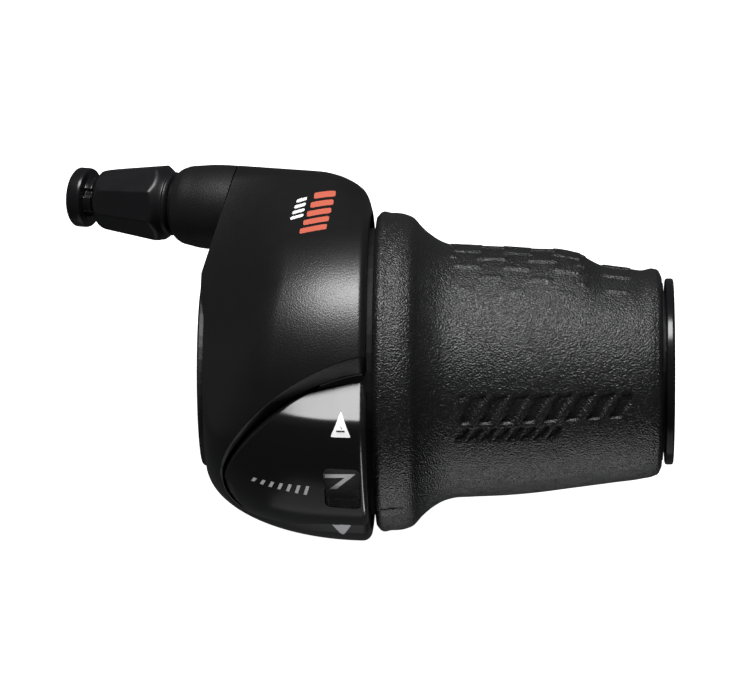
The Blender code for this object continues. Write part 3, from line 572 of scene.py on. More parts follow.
LOOKS = {
    "cover": material("cover_satin", (0.005, 0.005, 0.0055), 0.34,
                      [(4.0, 0.030, 1.0)], 0.02, 0.10, IOR=1.62),
    "panel": material("panel_gloss", (0.009, 0.009, 0.0095), 0.21, [(2.0, 0.002, 2.0)], 0.02, 0.10),
    "nylon": material("nylon_matte", (0.014, 0.014, 0.015), 0.52, [(5.0, 0.03, 4.0), (1.2, 0.02, 2.0)]),
    "sleeve": material("sleeve_matte", (0.006, 0.006, 0.0068), 0.47, [(4.5, 0.05, 2.0)]),
    "barrel": material("barrel_satin", (0.007, 0.007, 0.008), 0.36, [(5.0, 0.012, 3.0)]),
    "plug": material("plug_gloss", (0.007, 0.007, 0.008), 0.27, [(2.5, 0.01, 2.0)]),
    "ring": material("ring_gloss", (0.007, 0.007, 0.008), 0.20, [(1.5, 0.004, 2.0)]),
    "rubber": material("grip_rubber_grain", (0.007, 0.007, 0.0075), 0.40,
                       [(3.6, 0.22, 1.0), (1.6, 0.05, 1.0)], 0.08, 0.12),
    "smooth_rubber": material("seal_rubber_smooth", (0.012, 0.012, 0.012), 0.6, [(3.0, 0.02, 2.0)]),
    # painted shade in part: near black and rough so that the grip core and the thrust washer seen in the
    # gaps at the grip's ends read as shaded
    "core": material("core_black_and_gap_shade", (0.005, 0.005, 0.0055), 0.65, [(3.0, 0.015, 3.0)]),
    "numbers": material("number_ring_grey", (0.05, 0.05, 0.052), 0.5, [(4.0, 0.015, 2.0)]),
    "acetal": material("acetal_grey", (0.22, 0.22, 0.225), 0.45, [(3.0, 0.01, 2.0)]),
    "liner": material("liner_white", (0.70, 0.70, 0.69), 0.42, [(3.0, 0.01, 2.0)], 0.05, 0.03),
    "brass": material("brass_turned", (0.72, 0.52, 0.23), 0.30,
                      [(6.0, 0.01, 2.0)], 0.08, 0.08, Metallic=1.0),
    "steel": material("steel_plated", (0.56, 0.56, 0.57), 0.30,
                      [(5.0, 0.012, 3.0)], 0.10, 0.08, Metallic=1.0),
    "lens": material("lens_smoked", (0.045, 0.046, 0.050), 0.08, (), 0.01, 0.05, Alpha=0.25),
    "white_print": material("print_white", (0.88, 0.88, 0.88), 0.45, [(8.0, 0.004, 2.0)], 0.05, 0.03),
    "grey_print": material("print_grey", (0.40, 0.40, 0.41), 0.45, [(8.0, 0.004, 2.0)], 0.05, 0.05),
    "orange_print": material("print_orange", (0.60, 0.13, 0.08), 0.45, [(8.0, 0.004, 2.0)], 0.05, 0.04),
}


# ---- front cover --------------------------------------------------------------------------------
UPPER_START = math.radians(8.0)   # from this angle to the far split the cover is a plain grid
SPLIT_GUESS = math.radians(110.0)


def left_edge(radius, angle):
    """Inboard edge of the cover: its end wall, or the slanted seam where the tunnel is."""
    seam = SEAM_PLACE[0] + SEAM_LEAN * (radius * np.sin(angle) - SEAM_PLACE[1])
    wall = HOUSING_START - 0.8 * smooth_step(np.degrees(angle), 30.0, 56.0)
    return np.maximum(wall, seam)


def split_angle(x, side):
    """Angle at which the section meets the plane between the covers."""
    angle = np.full_like(x, side * SPLIT_GUESS)
    for _ in range(12):
        angle = side * (np.pi - np.arccos(-SPLIT_HEIGHT / section_radius(x, angle)))
    return angle


def across_fractions(count):
    """Fractions from the outboard rim inwards, close together at the rim's rounded edge."""
    t = np.arange(count + 1) / count
    return 0.35 * t ** 2.6 + 0.65 * t ** 1.25


def upper_grid(fractions, rows):
    """Grid of X and angle from UPPER_START over the tunnel to the split behind it."""
    x = HOUSING_END - (HOUSING_END - HOUSING_START) * fractions[None, :] * np.ones((rows, 1))
    share = (np.arange(rows) / (rows - 1))[:, None]
    angle = UPPER_START + (SPLIT_GUESS - UPPER_START) * share * np.ones_like(x)
    for _ in range(5):
        radius = section_radius(x, angle)
        x = HOUSING_END - (HOUSING_END - left_edge(radius, angle)) * fractions[None, :]
        top = split_angle(x[-1], 1.0)
        angle = UPPER_START + (top[None, :] - UPPER_START) * share
    return x, angle


def trimmed_outline():
    """The outline cut off at the outboard rim."""
    line = OUTLINE.copy()
    line[:, 0] = np.minimum(line[:, 0], HOUSING_END)
    return line


def outward_directions(points):
    """Outward normals of the outline, turned upright where it runs into the rim."""
    along = np.gradient(points, axis=0)
    normal = np.stack([along[:, 1], -along[:, 0]], axis=1)
    normal /= np.linalg.norm(normal, axis=1, keepdims=True)
    upright = np.stack([np.zeros(len(points)), np.sign(normal[:, 1])], axis=1)
    share = smooth_step(points[:, 0], 14.0, 21.0)[:, None]
    normal = normal * (1.0 - share) + upright * share
    return normal / np.linalg.norm(normal, axis=1, keepdims=True)


def resample(line, shares):
    """Points at the given shares of a line's length."""
    run = np.concatenate([[0.0], np.cumsum(np.hypot(*np.diff(line, axis=0).T))])
    at = shares * run[-1]
    return np.stack([np.interp(at, run, line[:, 0]), np.interp(at, run, line[:, 1])], axis=1)


def flush_grid(rows):
    """Rows of points as a grid that stops at the rim and has its two ends on it."""
    grid = np.stack(rows, axis=1)
    grid[:, :, 0] = np.minimum(grid[:, :, 0], HOUSING_END)
    grid[0, :, 0] = grid[-1, :, 0] = HOUSING_END
    return grid


def ring_grid(fractions):
    """Grid that fans out from the panel's outline to the cover's own edges."""
    line = trimmed_outline()
    top_stop = int(np.argmax(line[:, 0] < 2.0))
    low_start = TIP + int(np.argmax(line[TIP:, 0] > 3.0))
    side_count, low_count = 90, 90
    shares = across_fractions(len(fractions) - 1)
    near = np.concatenate([
        resample(line[:top_stop + 1], shares),
        resample(line[top_stop:low_start + 1], np.arange(1, side_count) / side_count),
        resample(line[low_start:], 1.0 - across_fractions(low_count)[::-1]),
    ])
    far_top = np.stack([
        HOUSING_END - (HOUSING_END - HOUSING_START) * fractions,
        np.full(len(fractions), UPPER_START * HOUSING_RADIUS),
    ], axis=1)
    low_x = HOUSING_START + (HOUSING_END - HOUSING_START) * (1.0 - across_fractions(low_count)[::-1])
    low_angle = split_angle(low_x, -1.0)
    side_share = (np.arange(1, side_count) / side_count)[:, None]
    low_corner = np.array([HOUSING_START, low_angle[0] * HOUSING_RADIUS])
    far_side = far_top[-1] + (low_corner - far_top[-1]) * side_share
    far_low = np.stack([low_x, low_angle * HOUSING_RADIUS], axis=1)
    far = np.concatenate([far_top, far_side, far_low])
    out = outward_directions(near)
    width = bevel_width(near[:, 0])[:, None]
    rows = [near + out * GAP]
    for share in np.concatenate([[0.0, 0.005, 0.02, 0.045, 0.08, 0.12], np.linspace(0.17, 1.0, 12)]):
        rows.append(near + out * (GAP + width * share))
    base = rows[-1]
    reach = np.linalg.norm(far - base, axis=1, keepdims=True) * 0.35
    for t in (np.arange(1, 41) / 40.0) ** 1.35:
        rows.append((1 - t) ** 2 * base + 2 * t * (1 - t) * (base + out * reach) + t ** 2 * far)
    return flush_grid(rows)


def make_cover():
    """Front cover: a grid over the tunnel and a fan of rows round the panel, made into a shell."""
    fractions = across_fractions(96)
    x, angle = upper_grid(fractions, 150)
    ring = ring_grid(fractions)
    rx, ra = ring[..., 0], ring[..., 1] / HOUSING_RADIUS
    height = cover_height(rx, ra)
    height[:, 0] = keep_clear(rx[:, 0], height[:, 0] - 1.2)
    outer = np.concatenate([
        around_bar(x, cover_height(x, angle), angle).reshape(-1, 3),
        around_bar(rx, height, ra).reshape(-1, 3),
    ])
    faces = [tuple(reversed(f)) for f in grid_faces(*x.shape)]
    faces += [tuple(reversed(f)) for f in grid_faces(*rx.shape, first=x.size)]
    radius, turn = from_bar(outer)
    inside = np.minimum(section_radius(outer[:, 0], turn) - WALL, radius - 0.25)
    inside = np.maximum(inside, COLLAR_RADIUS + 0.25)
    inside = np.where(outer[:, 0] > NUMBER_START - 1.0, np.maximum(inside, INNER_CLEARANCE - 0.12), inside)
    inside = np.minimum(inside, radius - 0.05)
    inner = around_bar(outer[:, 0], inside, turn)
    mesh = face_outwards(shell("cover_skin", outer, inner, faces))
    set_normals(mesh, cover_height)
    return new_piece("cover_skin", mesh, LOOKS["cover"], "housing", "gloss_cover", "housing_cover")


# ---- display panel and window ---------------------------------------------------------------------
WINDOW_X = (15.4, 21.0)
WINDOW_ANGLES = (math.radians(-32.4), math.radians(-48.8))
WINDOW_CORNER = 0.9


def rounded_rectangle(shrink, steps=10):
    """Corner-rounded window outline in X and arc length, walked once round."""
    x0, x1 = WINDOW_X[0] + shrink, WINDOW_X[1] - shrink
    s0, s1 = WINDOW_ANGLES[1] * HOUSING_RADIUS + shrink, WINDOW_ANGLES[0] * HOUSING_RADIUS - shrink
    corner = max(0.05, WINDOW_CORNER - shrink)
    places = []
    for cx, cy, start in ((x1, s1, 0), (x0, s1, 90), (x0, s0, 180), (x1, s0, 270)):
        ox = cx - math.copysign(corner, cx - (x0 + x1) / 2)
        oy = cy - math.copysign(corner, cy - (s0 + s1) / 2)
        for k in range(steps + 1):
            t = math.radians(start + 90.0 * k / steps)
            places.append((ox + corner * math.cos(t), oy + corner * math.sin(t)))
    return np.array(places)


def window_prism(grow, low, high):
    """Cutter for the window, between two distances from the bar's axis."""
    line = rounded_rectangle(-grow)
    angle = line[:, 1] / HOUSING_RADIUS
    count = len(line)
    points = np.concatenate([around_bar(line[:, 0], r, angle) for r in (low, high)])
    faces = grid_faces(2, count, wrap_columns=True) + [tuple(range(count)), tuple(range(count, 2 * count))]
    return face_outwards(mesh_from("window_prism", points, faces))


def make_panel():
    """Display panel: rows from its outline to the rim, made into a shell with the window cut out."""
    line = trimmed_outline()
    top = resample(line[:TIP + 1], across_fractions(150))
    low = resample(line[TIP:], 1.0 - across_fractions(90)[::-1])[1:]
    near = np.concatenate([top, low])
    out = outward_directions(near)
    rows = [near - out * PANEL_INSET]
    for step in (0.0, 0.01, 0.04, 0.09, 0.16, 0.25, 0.36, 0.5):
        rows.append(near - out * (PANEL_INSET + step))
    base = rows[-1]
    rim = np.linspace(base[0, 1], base[-1, 1], len(near))
    far = np.stack([np.full(len(near), HOUSING_END), rim], axis=1)
    for t in np.arange(1, 91) / 90.0:
        rows.append(base + (far - base) * t)
    grid = flush_grid(rows)
    x, angle = grid[..., 0], grid[..., 1] / HOUSING_RADIUS
    height = panel_height(x, angle)
    height[:, 0] = keep_clear(x[:, 0], height[:, 0] - 1.0)
    outer = around_bar(x, height, angle).reshape(-1, 3)
    radius, turn = from_bar(outer)
    floor = np.where(outer[:, 0] > NUMBER_START - 1.0, INNER_CLEARANCE - 0.12, 0.0)
    inside = np.minimum(np.maximum(radius - WALL, floor), radius - 0.05)
    inner = around_bar(outer[:, 0], inside, turn)
    faces = [tuple(reversed(f)) for f in grid_faces(*x.shape)]
    mesh = face_outwards(shell("panel_skin", outer, inner, faces))
    mesh = cut(mesh, window_prism(0.06, 20.0, 34.0))
    set_normals(mesh, panel_height)
    return new_piece("panel_skin", mesh, LOOKS["panel"], "housing", "mirror_panel", "indicator_panel")


def make_lens():
    """Smoked glass block that fills the window, in rings that shrink towards its middle."""
    shrinks = [0.0, 0.0, 0.05, 0.12, 0.22] + list(np.linspace(0.4, 2.75, 12))
    grid = np.stack([rounded_rectangle(shrink) for shrink in shrinks])
    x, angle = grid[..., 0], grid[..., 1] / HOUSING_RADIUS
    edge = np.array(shrinks)[:, None]
    height = panel_height(x, angle) - 0.05 - quarter_round(edge, 0.22)
    height[0] = NUMBER_RADIUS + 1.0
    count = grid.shape[1]
    outer = around_bar(x, height, angle).reshape(-1, 3)
    faces = grid_faces(len(shrinks), count, wrap_columns=True)
    last = (len(shrinks) - 1) * count
    faces += [tuple(range(last, last + count)), tuple(range(count))]
    mesh = shade(face_outwards(mesh_from("lens_glass", outer, faces)), 40.0)
    return new_piece("lens_glass", mesh, LOOKS["lens"], "housing", "smoked_window", "window_lens")


# ---- lower cover ----------------------------------------------------------------------------------
def make_lower_cover():
    """Rear cover, with openings for the clamp's ears, the outlet, the screws and the plug."""
    columns, rows = 60, 130
    t = np.arange(columns + 1) / columns
    x = HOUSING_START + (HOUSING_END - HOUSING_START) * (1.0 - (1.0 - t) ** 1.5)
    x = x[None, :] * np.ones((rows, 1))
    gap = GAP / HOUSING_RADIUS
    first, last = split_angle(x[0], 1.0) + gap, split_angle(x[0], -1.0) - gap + 2.0 * np.pi
    share = (np.arange(rows) / (rows - 1))[:, None]
    angle = first[None, :] + (last - first)[None, :] * share

    def lower_height(px, pa):
        return section_radius(px, pa) - quarter_round(HOUSING_END - px, RIM_EDGE)

    outer = around_bar(x, lower_height(x, angle), angle).reshape(-1, 3)
    reach, turn = from_bar(outer)
    inside = np.maximum(section_radius(x, angle).reshape(-1) - WALL, COLLAR_RADIUS + 0.3)
    inner = around_bar(outer[:, 0], np.minimum(inside, reach - 0.3), turn)
    faces = grid_faces(*x.shape)
    mesh = face_outwards(shell("lower_cover_skin", outer, inner, faces))
    ears = box_mesh((-9.0, -13.0, -40.0), (5.0, 13.0, -12.0))
    outlet = box_mesh((-40.0, 14.5, -40.0), (0.4, 60.0, 0.0))
    holes = []
    for node, clearance in (("cover_screw_1", 0.3), ("cover_screw_2", 0.3), ("access_plug", 0.35)):
        low, high = corners(node)
        middle, radius = (low + high) / 2.0, (high[0] - low[0]) / 2.0 + clearance
        points, ring_faces = lathe([(-40, 0.0), (-40, radius), (40, radius), (40, 0.0)], 48)
        points = points[:, [2, 1, 0]] + middle - (0.0, 0.0, 40.0 - 0.4)
        points, ring_faces, _ = merged(points, ring_faces)
        holes.append(face_outwards(mesh_from("hole", points, ring_faces)))
    mesh = cut(mesh, ears, outlet, *holes)
    set_normals(mesh, lower_height)
    return new_piece("lower_cover_skin", mesh, LOOKS["nylon"], "housing", "matte_nylon", "lower_cover")


# ---- grip -----------------------------------------------------------------------------------------
GRIP_PROFILE = [                  # X and radius from the flange to the outboard end
    (22.95, 24.9), (23.5, 25.55), (25.3, 25.6), (27.5, 25.35), (28.9, 24.7), (30.1, 23.35), (31.6, 22.05),
    (33.3, 21.0), (35.2, 20.4), (38.0, 20.2), (43.5, 19.95), (48.2, 19.55), (54.0, 18.8), (60.8, 17.9),
    (65.5, 17.25), (67.4, 16.8), (68.2, 16.3), (68.6, 15.4),
]
PAD_FACING = 88.0                 # the thumb pad's middle, in degrees
GRIP_ARC_RADIUS = 20.0            # arc lengths on the grip are measured on this radius
BLOCK_PITCH = 7.9                 # raised blocks: spacing along a row, angle between rows, width, relief
BLOCK_ROW = math.radians(8.0)
BLOCK_WIDTH = 1.25
BLOCK_RELIEF = 0.28
BLOCK_COUNTED_FROM = 37.6
BLOCK_SPAN = (34.8, 56.5)         # X of the blocks on the pad, of the dip beyond it, and of the dip's blocks
DIP_SPAN = (58.0, 65.0)
DIP_BLOCK = 61.4
MARK_DEPTH = 0.42
PARTING_ANGLE = math.radians(-58.0)
PARTING_DEPTH, PARTING_WIDTH = 0.22, 0.16
MARK_ROWS = (                     # first X, length, middle angle, height, pitch and lean of the sunk marks
    (36.6, 27.0, -17.5, 4.7, 3.4, 0.55),
    (35.8, 16.7, -29.5, 2.3, 2.1, 0.55),
)


def slanted_bars(x, s, start, length, middle, height, pitch, lean):
    """Signed distance inside a row of slanted bars: positive inside."""
    skew = x - start - lean * (s - middle)
    cell = np.abs((skew % pitch) - pitch / 2.0)
    inside_bar = pitch * 0.31 - cell
    inside_row = height / 2.0 - np.abs(s - middle)
    inside_ends = length / 2.0 - np.abs(x - start - length / 2.0)
    return np.minimum(np.minimum(inside_bar, inside_row), inside_ends)


def block_relief(x, turned):
    """Raised blocks in staggered rows, shorter and shallower away from the pad's middle."""
    middle = math.radians(PAD_FACING)
    from_middle = np.abs(np.radians(turned) - middle)
    row = np.round((middle - from_middle) / BLOCK_ROW)
    place = np.abs(middle - from_middle - row * BLOCK_ROW) * GRIP_ARC_RADIUS
    half = 0.9 + 1.5 * smooth_step(row, 3.2, 8.5)
    shift = BLOCK_PITCH / 2.0 * (row % 2)
    along = np.abs(((x - BLOCK_COUNTED_FROM + shift) % BLOCK_PITCH) - BLOCK_PITCH / 2.0)
    within = (x > BLOCK_SPAN[0]) & (x < BLOCK_SPAN[1])
    # every other row has one more block in the dip at the outboard end
    in_dip = (x > DIP_SPAN[0]) & (row % 2 == 0)
    along = np.where(in_dip, np.abs(x - DIP_BLOCK), along)
    within = within | (in_dip & (x < DIP_SPAN[1]))
    corner = BLOCK_WIDTH / 2.0
    outside = np.hypot(np.maximum(along - half + corner, 0.0), place)
    block = smooth_step(corner + 0.12 - outside, 0.0, 0.34)
    return BLOCK_RELIEF * block * within * smooth_step(row, 3.4, 6.5)


def grip_height(x, angle):
    """Outer surface of the rubber grip."""
    turned = np.degrees(np.arctan2(np.sin(angle), np.cos(angle)))
    pad = 1.0 - smooth_step(np.abs(turned - PAD_FACING), 22.0, 66.0)
    swell = 0.45 * np.exp(-((x - 52.4) / 3.4) ** 2)
    dip = 1.05 * smooth_step(x, 55.3, 59.3) * (1.0 - 0.8 * smooth_step(x, 64.8, 67.8))
    height = curve_through(GRIP_PROFILE, x) + pad * (swell - dip)
    height = height + block_relief(x, turned)
    s = angle * GRIP_ARC_RADIUS
    for start, length, middle, tall, pitch, lean in MARK_ROWS:
        middle = math.radians(middle) * GRIP_ARC_RADIUS
        inside = slanted_bars(x, s, start, length, middle, tall, pitch, lean)
        height = height - MARK_DEPTH * smooth_step(inside, -0.10, 0.22)
    parting = PARTING_DEPTH * smooth_step(x, 23.0, 24.0) * (1.0 - 0.6 * smooth_step(x, 26.0, 30.0))
    return height - parting * np.exp(-((angle - PARTING_ANGLE) * GRIP_ARC_RADIUS / PARTING_WIDTH) ** 2)


def make_grip():
    """Rubber grip; its columns crowd together at the parting line so that the line stays sharp."""
    columns, segments = 168, 480
    crowd = math.radians(3.0)
    t = np.arange(columns + 1) / columns
    x = GRIP_START + (GRIP_END - GRIP_START) * (0.5 - 0.5 * np.cos(np.pi * t)) * 0.25
    x += (GRIP_END - GRIP_START) * t * 0.75
    angle = 2.0 * np.pi * (np.arange(segments) + 0.5) / segments - np.pi
    for index in range(segments):
        offset = (angle[index] - PARTING_ANGLE) / crowd
        if abs(offset) < 1.0:
            angle[index] = PARTING_ANGLE + crowd * offset * abs(offset) ** 0.6
    gx, ga = np.meshgrid(x, angle, indexing="ij")
    height = grip_height(gx, ga)
    inner = np.array([(GRIP_END, 14.6), (37.2, 14.6), (33.0, 17.5), (26.4, 23.5), (GRIP_START, 23.5)])
    ix = np.repeat(inner[:, :1], segments, axis=1)
    ir = np.repeat(inner[:, 1:], segments, axis=1)
    points = np.concatenate([
        around_bar(gx, height, ga).reshape(-1, 3),
        around_bar(ix, ir, ga[:1]).reshape(-1, 3),
    ])
    faces = grid_faces(columns + 1 + len(inner), segments, wrap_rows=True, wrap_columns=True)
    mesh = shade(face_outwards(mesh_from("grip_skin", points, faces)), 50.0)
    return new_piece("grip_skin", mesh, LOOKS["rubber"], "grip", "grip_rubber", "grip_sleeve")


def make_end_ring():
    """Plain retaining ring with rounded edges."""
    rim = rounded([
        (RING_START, 12.95), (RING_END, 12.95), (RING_END, RING_RADIUS), (RING_START, RING_RADIUS),
    ], 0.45, 6)
    points, faces = lathe(rim, 128)
    mesh = shade(face_outwards(mesh_from("end_ring_skin", points, faces)), 60.0)
    return new_piece("end_ring_skin", mesh, LOOKS["ring"], "housing", "gloss_ring", "end_ring")


# ---- cable outlet ---------------------------------------------------------------------------------
def on_cable(name, points, faces, sharp=40.0):
    """Mesh of a piece drawn along X, stood on the cable's axis."""
    mesh = face_outwards(mesh_from(name, points, faces))
    mesh.transform(CABLE_MATRIX)
    return shade(mesh, sharp)


SLEEVE_START, SLEEVE_END = -8.6, 5.2
SLEEVE_PROFILE = [
    (SLEEVE_START, 6.95), (-6.0, 6.95), (-3.0, 6.85), (0.0, 6.6), (2.2, 6.4), (3.1, 6.25), (4.3, 5.85),
    (SLEEVE_END, 5.2),
]


def seam_start(x, radius, turn):
    """Trim the sleeve's inner end to the slanted seam, with a small gap."""
    matrix = np.array(CABLE_MATRIX)[:3, :3]
    normal = np.array([-1.0, SEAM_LEAN, 0.0])
    normal /= np.linalg.norm(normal)
    point = np.array([SEAM_PLACE[0], SEAM_PLACE[1], 0.0]) + normal * GAP * 0.6
    side = np.stack(np.broadcast_arrays(0.0 * turn, radius * np.sin(turn), radius * np.cos(turn)), axis=-1)
    offset = (side @ matrix.T + CABLE_POINT - point) @ normal
    seam = -offset / (matrix[:, 0] @ normal)
    share = (x - SLEEVE_START) / (SLEEVE_END - SLEEVE_START)
    return seam + (SLEEVE_END - seam) * share


def make_sleeve():
    """Matte sleeve, with a fine step round it near its mouth."""
    step_at, step_depth, bore = 3.05, 0.07, 4.9
    outer = [(x, float(curve_through(SLEEVE_PROFILE, x))) for x in np.linspace(SLEEVE_START, SLEEVE_END, 40)]
    outer = [(x, r - (step_depth if x > step_at else 0.0)) for x, r in outer]
    profile = outer + [(SLEEVE_END, bore + 0.05), (2.0, bore), (SLEEVE_START, bore)]
    points, faces = lathe(profile, 144, start_at=seam_start)
    mesh = on_cable("sleeve_skin", points, faces, 50.0)
    return new_piece("sleeve_skin", mesh, LOOKS["sleeve"], "housing", "matte_sleeve", "outlet_sleeve")


FLAT_COUNT = 8                    # flats on the barrel, where the first edge runs, and how they taper
FIRST_EDGE = math.radians(30.5)
FLATS_START, FLATS_END = (6.4, 6.2), (21.0, 4.35)   # X and distance of a flat from the axis
RIB_COUNT = 5                     # ribs on the plug's neck, and where the first one stands
FIRST_RIB = math.radians(-14.0)
NECK = (19.75, 21.115)            # X where the plug's neck begins and ends


def eight_sided(x, radius, turn):
    """Plane eight tapered flats on the barrel, with softened edges."""
    (x0, d0), (x1, d1) = FLATS_START, FLATS_END
    apothem = d0 + (x - x0) * (d1 - d0) / (x1 - x0)
    pitch = 2.0 * math.pi / FLAT_COUNT
    off = (turn - FIRST_EDGE) % pitch - pitch / 2.0
    flat = apothem / np.cos(off)
    on_barrel = (x > x0) & (radius > 3.4)
    return np.where(on_barrel, soft_min(radius, flat, 0.10), radius)


def make_barrel():
    """Barrel adjuster: a stem, a collar, and a tapered head with flats and chamfered ends."""
    outer = rounded([
        (5.5, 4.3), (5.75, 4.95), (6.15, 5.25), (6.5, 5.1), (8.6, 6.75), (16.8, 5.45), (18.5, 4.8),
        (19.2, 4.1), (19.4, 3.3),
    ], 0.3, 4, closed=False)
    stem = [(-4.0, 2.95), (5.5, 2.95)]
    bore = [(19.4, 3.3), (19.35, 2.6), (-4.0, 2.6)]
    profile = stem + densify(outer, 0.4, closed=False) + bore
    points, faces = lathe(profile, 240, radius_at=eight_sided)
    mesh = on_cable("barrel_skin", points, faces)
    return new_piece("barrel_skin", mesh, LOOKS["barrel"], "adjuster", "barrel_plastic", "adjuster_barrel")


def ribbed(x, radius, turn):
    """Raise broad ribs on the plug's neck."""
    rib = smooth_step(np.cos(RIB_COUNT * (turn - FIRST_RIB)), -0.75, -0.45)
    on_neck = (x > NECK[0]) & (x < NECK[1]) & (radius > 2.5)
    return np.where(on_neck, radius + 0.6 * rib, radius)


def make_plug():
    """Transit plug with a ribbed neck and a flange."""
    outer = rounded([
        (12.0, 0.2), (12.0, 1.9), (12.4, 2.25), (19.75, 2.25), (19.8, 2.7), (20.4, 2.72), (21.1, 2.75),
        (21.12, 4.75), (21.6, 4.9), (23.25, 4.9), (23.7, 4.4), (23.7, 0.2),
    ], 0.22, 4, closed=False)
    points, faces = lathe(outer, 144, radius_at=ribbed)
    mesh = on_cable("plug_skin", points, faces, 45.0)
    return new_piece("plug_skin", mesh, LOOKS["plug"], "casing_plug", "plug_plastic", "casing_plug")


# ---- printed marks and gear numbers -----------------------------------------------------------------
PRINT_LIFT = 0.03


def printed(name, outlines, look, slot, height, lift=PRINT_LIFT):
    """Thin raised prints: each outline is (x, arc length) points, laid on a height surface."""
    points, faces = [], []
    for outline in outlines:
        outline = np.asarray(outline, float)
        middle = outline.mean(axis=0)
        first = len(points)
        rings = [middle + (outline - middle) * share for share in (1.0, 1.0, 0.75, 0.5, 0.25)]
        count = len(outline)
        for level, ring in enumerate(rings):
            angle = ring[:, 1] / HOUSING_RADIUS
            radius = height(ring[:, 0], angle) + (lift if level else -lift)
            points += list(around_bar(ring[:, 0], radius, angle))
        faces += grid_faces(len(rings), count, first=first, wrap_columns=True)
        last = first + (len(rings) - 1) * count
        faces += [tuple(range(last, last + count)), tuple(range(first, first + count))]
    mesh = shade(face_outwards(mesh_from(name, points, faces)), 40.0)
    return new_piece(name, mesh, LOOKS[look], "housing", slot)


def arc(degrees):
    """Arc length on the housing's largest radius."""
    return math.radians(degrees) * HOUSING_RADIUS


def make_arrows():
    """Two arrows beside the window, and a row of ticks that grows towards it."""
    up = rounded([(18.2, arc(-13.0)), (19.75, arc(-20.9)), (16.55, arc(-20.9))], 0.3, 4)
    printed("arrow_up", [densify(up)], "white_print", "mirror_panel", panel_height)
    dash = [(17.5, arc(-18.6)), (18.8, arc(-18.6)), (18.8, arc(-19.05)), (17.5, arc(-19.05))]
    printed("arrow_up_dash", [densify(dash)], "panel", "mirror_panel", panel_height, 0.11)
    down = rounded([(16.0, arc(-66.0)), (19.1, arc(-66.0)), (17.7, arc(-73.0))], 0.25, 4)
    printed("arrow_down", [densify(down)], "grey_print", "gloss_cover", cover_height)
    ticks = []
    wide, lean = 0.5, 0.5
    for n in range(GEAR_COUNT):
        start, low, high = 3.6 + 1.4 * n, arc(-44.6), arc(-42.4) + 0.15 * n
        ticks.append(densify([
            (start, low), (start + wide, low), (start + wide + lean, high), (start + lean, high),
        ]))
    printed("gear_ticks", ticks, "grey_print", "mirror_panel", panel_height)


COVER_BARS = (                    # look, first and last angle, first X, drift, length, count and width
    ("orange_print", 56.5, 75.5, 11.1, 1.9, 4.3, 5, 1.45),
    ("white_print", 66.0, 75.0, 9.4, 0.8, 2.1, 4, 0.8),
)


def make_cover_bars():
    """Two rows of plain slanted bars printed beside the cable tunnel."""
    for look, start, stop, first, drift, length, count, wide in COVER_BARS:
        bars = []
        for n in range(count):
            share = n / (count - 1)
            s = arc(start + (stop - start) * share)
            x, reach = first + drift * share, length * (1.0 - 0.2 * share)
            bars.append(densify(rounded([
                (x, s), (x + reach, s + 0.3), (x + reach, s + 0.3 + wide), (x, s + wide),
            ], 0.35, 4)))
        printed(look.replace("print", "bars"), bars, look, "gloss_cover", cover_height)


DIGITS = {                        # strokes in a unit box, drawn with square ends
    1: [[(0.4, 1.0), (0.7, 1.0), (0.7, 0.0)]],
    2: [[(0.2, 1.0), (1.0, 1.0), (1.0, 0.5), (0.2, 0.5), (0.2, 0.0), (1.0, 0.0)]],
    3: [[(0.2, 1.0), (1.0, 1.0), (1.0, 0.0), (0.2, 0.0)], [(0.4, 0.5), (1.0, 0.5)]],
    4: [[(0.2, 1.0), (0.2, 0.4), (1.0, 0.4)], [(0.8, 1.0), (0.8, 0.0)]],
    5: [[(1.0, 1.0), (0.2, 1.0), (0.2, 0.5), (1.0, 0.5), (1.0, 0.0), (0.2, 0.0)]],
    6: [[(1.0, 1.0), (0.2, 1.0), (0.2, 0.0), (1.0, 0.0), (1.0, 0.5), (0.2, 0.5)]],
    7: [[(0.0, 1.0), (0.97, 1.0), (0.42, 0.0)]],
}
DIGIT_SIZE = np.array((4.05, 3.2))   # along the bar and round it
DIGIT_MIDDLE = 17.0
DIGIT_STROKE = 0.84
DIGIT_LEAN = 0.6
DIGIT_ANGLE = math.radians(-48.4)   # of the last gear's number at rest
MASK_ANGLES = (-54.5, -66.0)
MASK_RADII = (NUMBER_RADIUS + 2.6, NUMBER_RADIUS + 1.2)


def make_window_mask():
    """Grey plate behind the window that hides the edge of the next number."""
    angle = np.radians(np.linspace(*MASK_ANGLES, 24))
    x = np.linspace(NUMBER_START + 0.2, NUMBER_END - 0.1, 12)
    gx, ga = np.meshgrid(x, angle, indexing="ij")
    skins = [around_bar(gx, radius, ga).reshape(-1, 3) for radius in MASK_RADII]
    mesh = shade(face_outwards(shell("window_mask", *skins, grid_faces(*gx.shape))))
    return new_piece("window_mask", mesh, LOOKS["numbers"], "housing", "number_ring")


def stroke_outline(path, width):
    """Both sides of a path drawn with a flat pen: mitred at corners, cut level at sloping ends."""
    left, right = [], []
    for n, p in enumerate(path):
        before = path[n] - path[n - 1] if n else path[1] - path[0]
        after = path[n + 1] - path[n] if n < len(path) - 1 else before
        before, after = before / np.linalg.norm(before), after / np.linalg.norm(after)
        bisector = before + after
        bisector /= np.linalg.norm(bisector)
        normal = np.array([-bisector[1], bisector[0]])
        if n in (0, len(path) - 1) and abs(after[1]) > 0.3:
            normal = np.array([-math.copysign(1.0, after[1]), 0.0])
        reach = width / 2.0 / max(0.45, abs(normal @ np.array([-after[1], after[0]])))
        left.append(p + normal * reach)
        right.append(p - normal * reach)
    return left, right


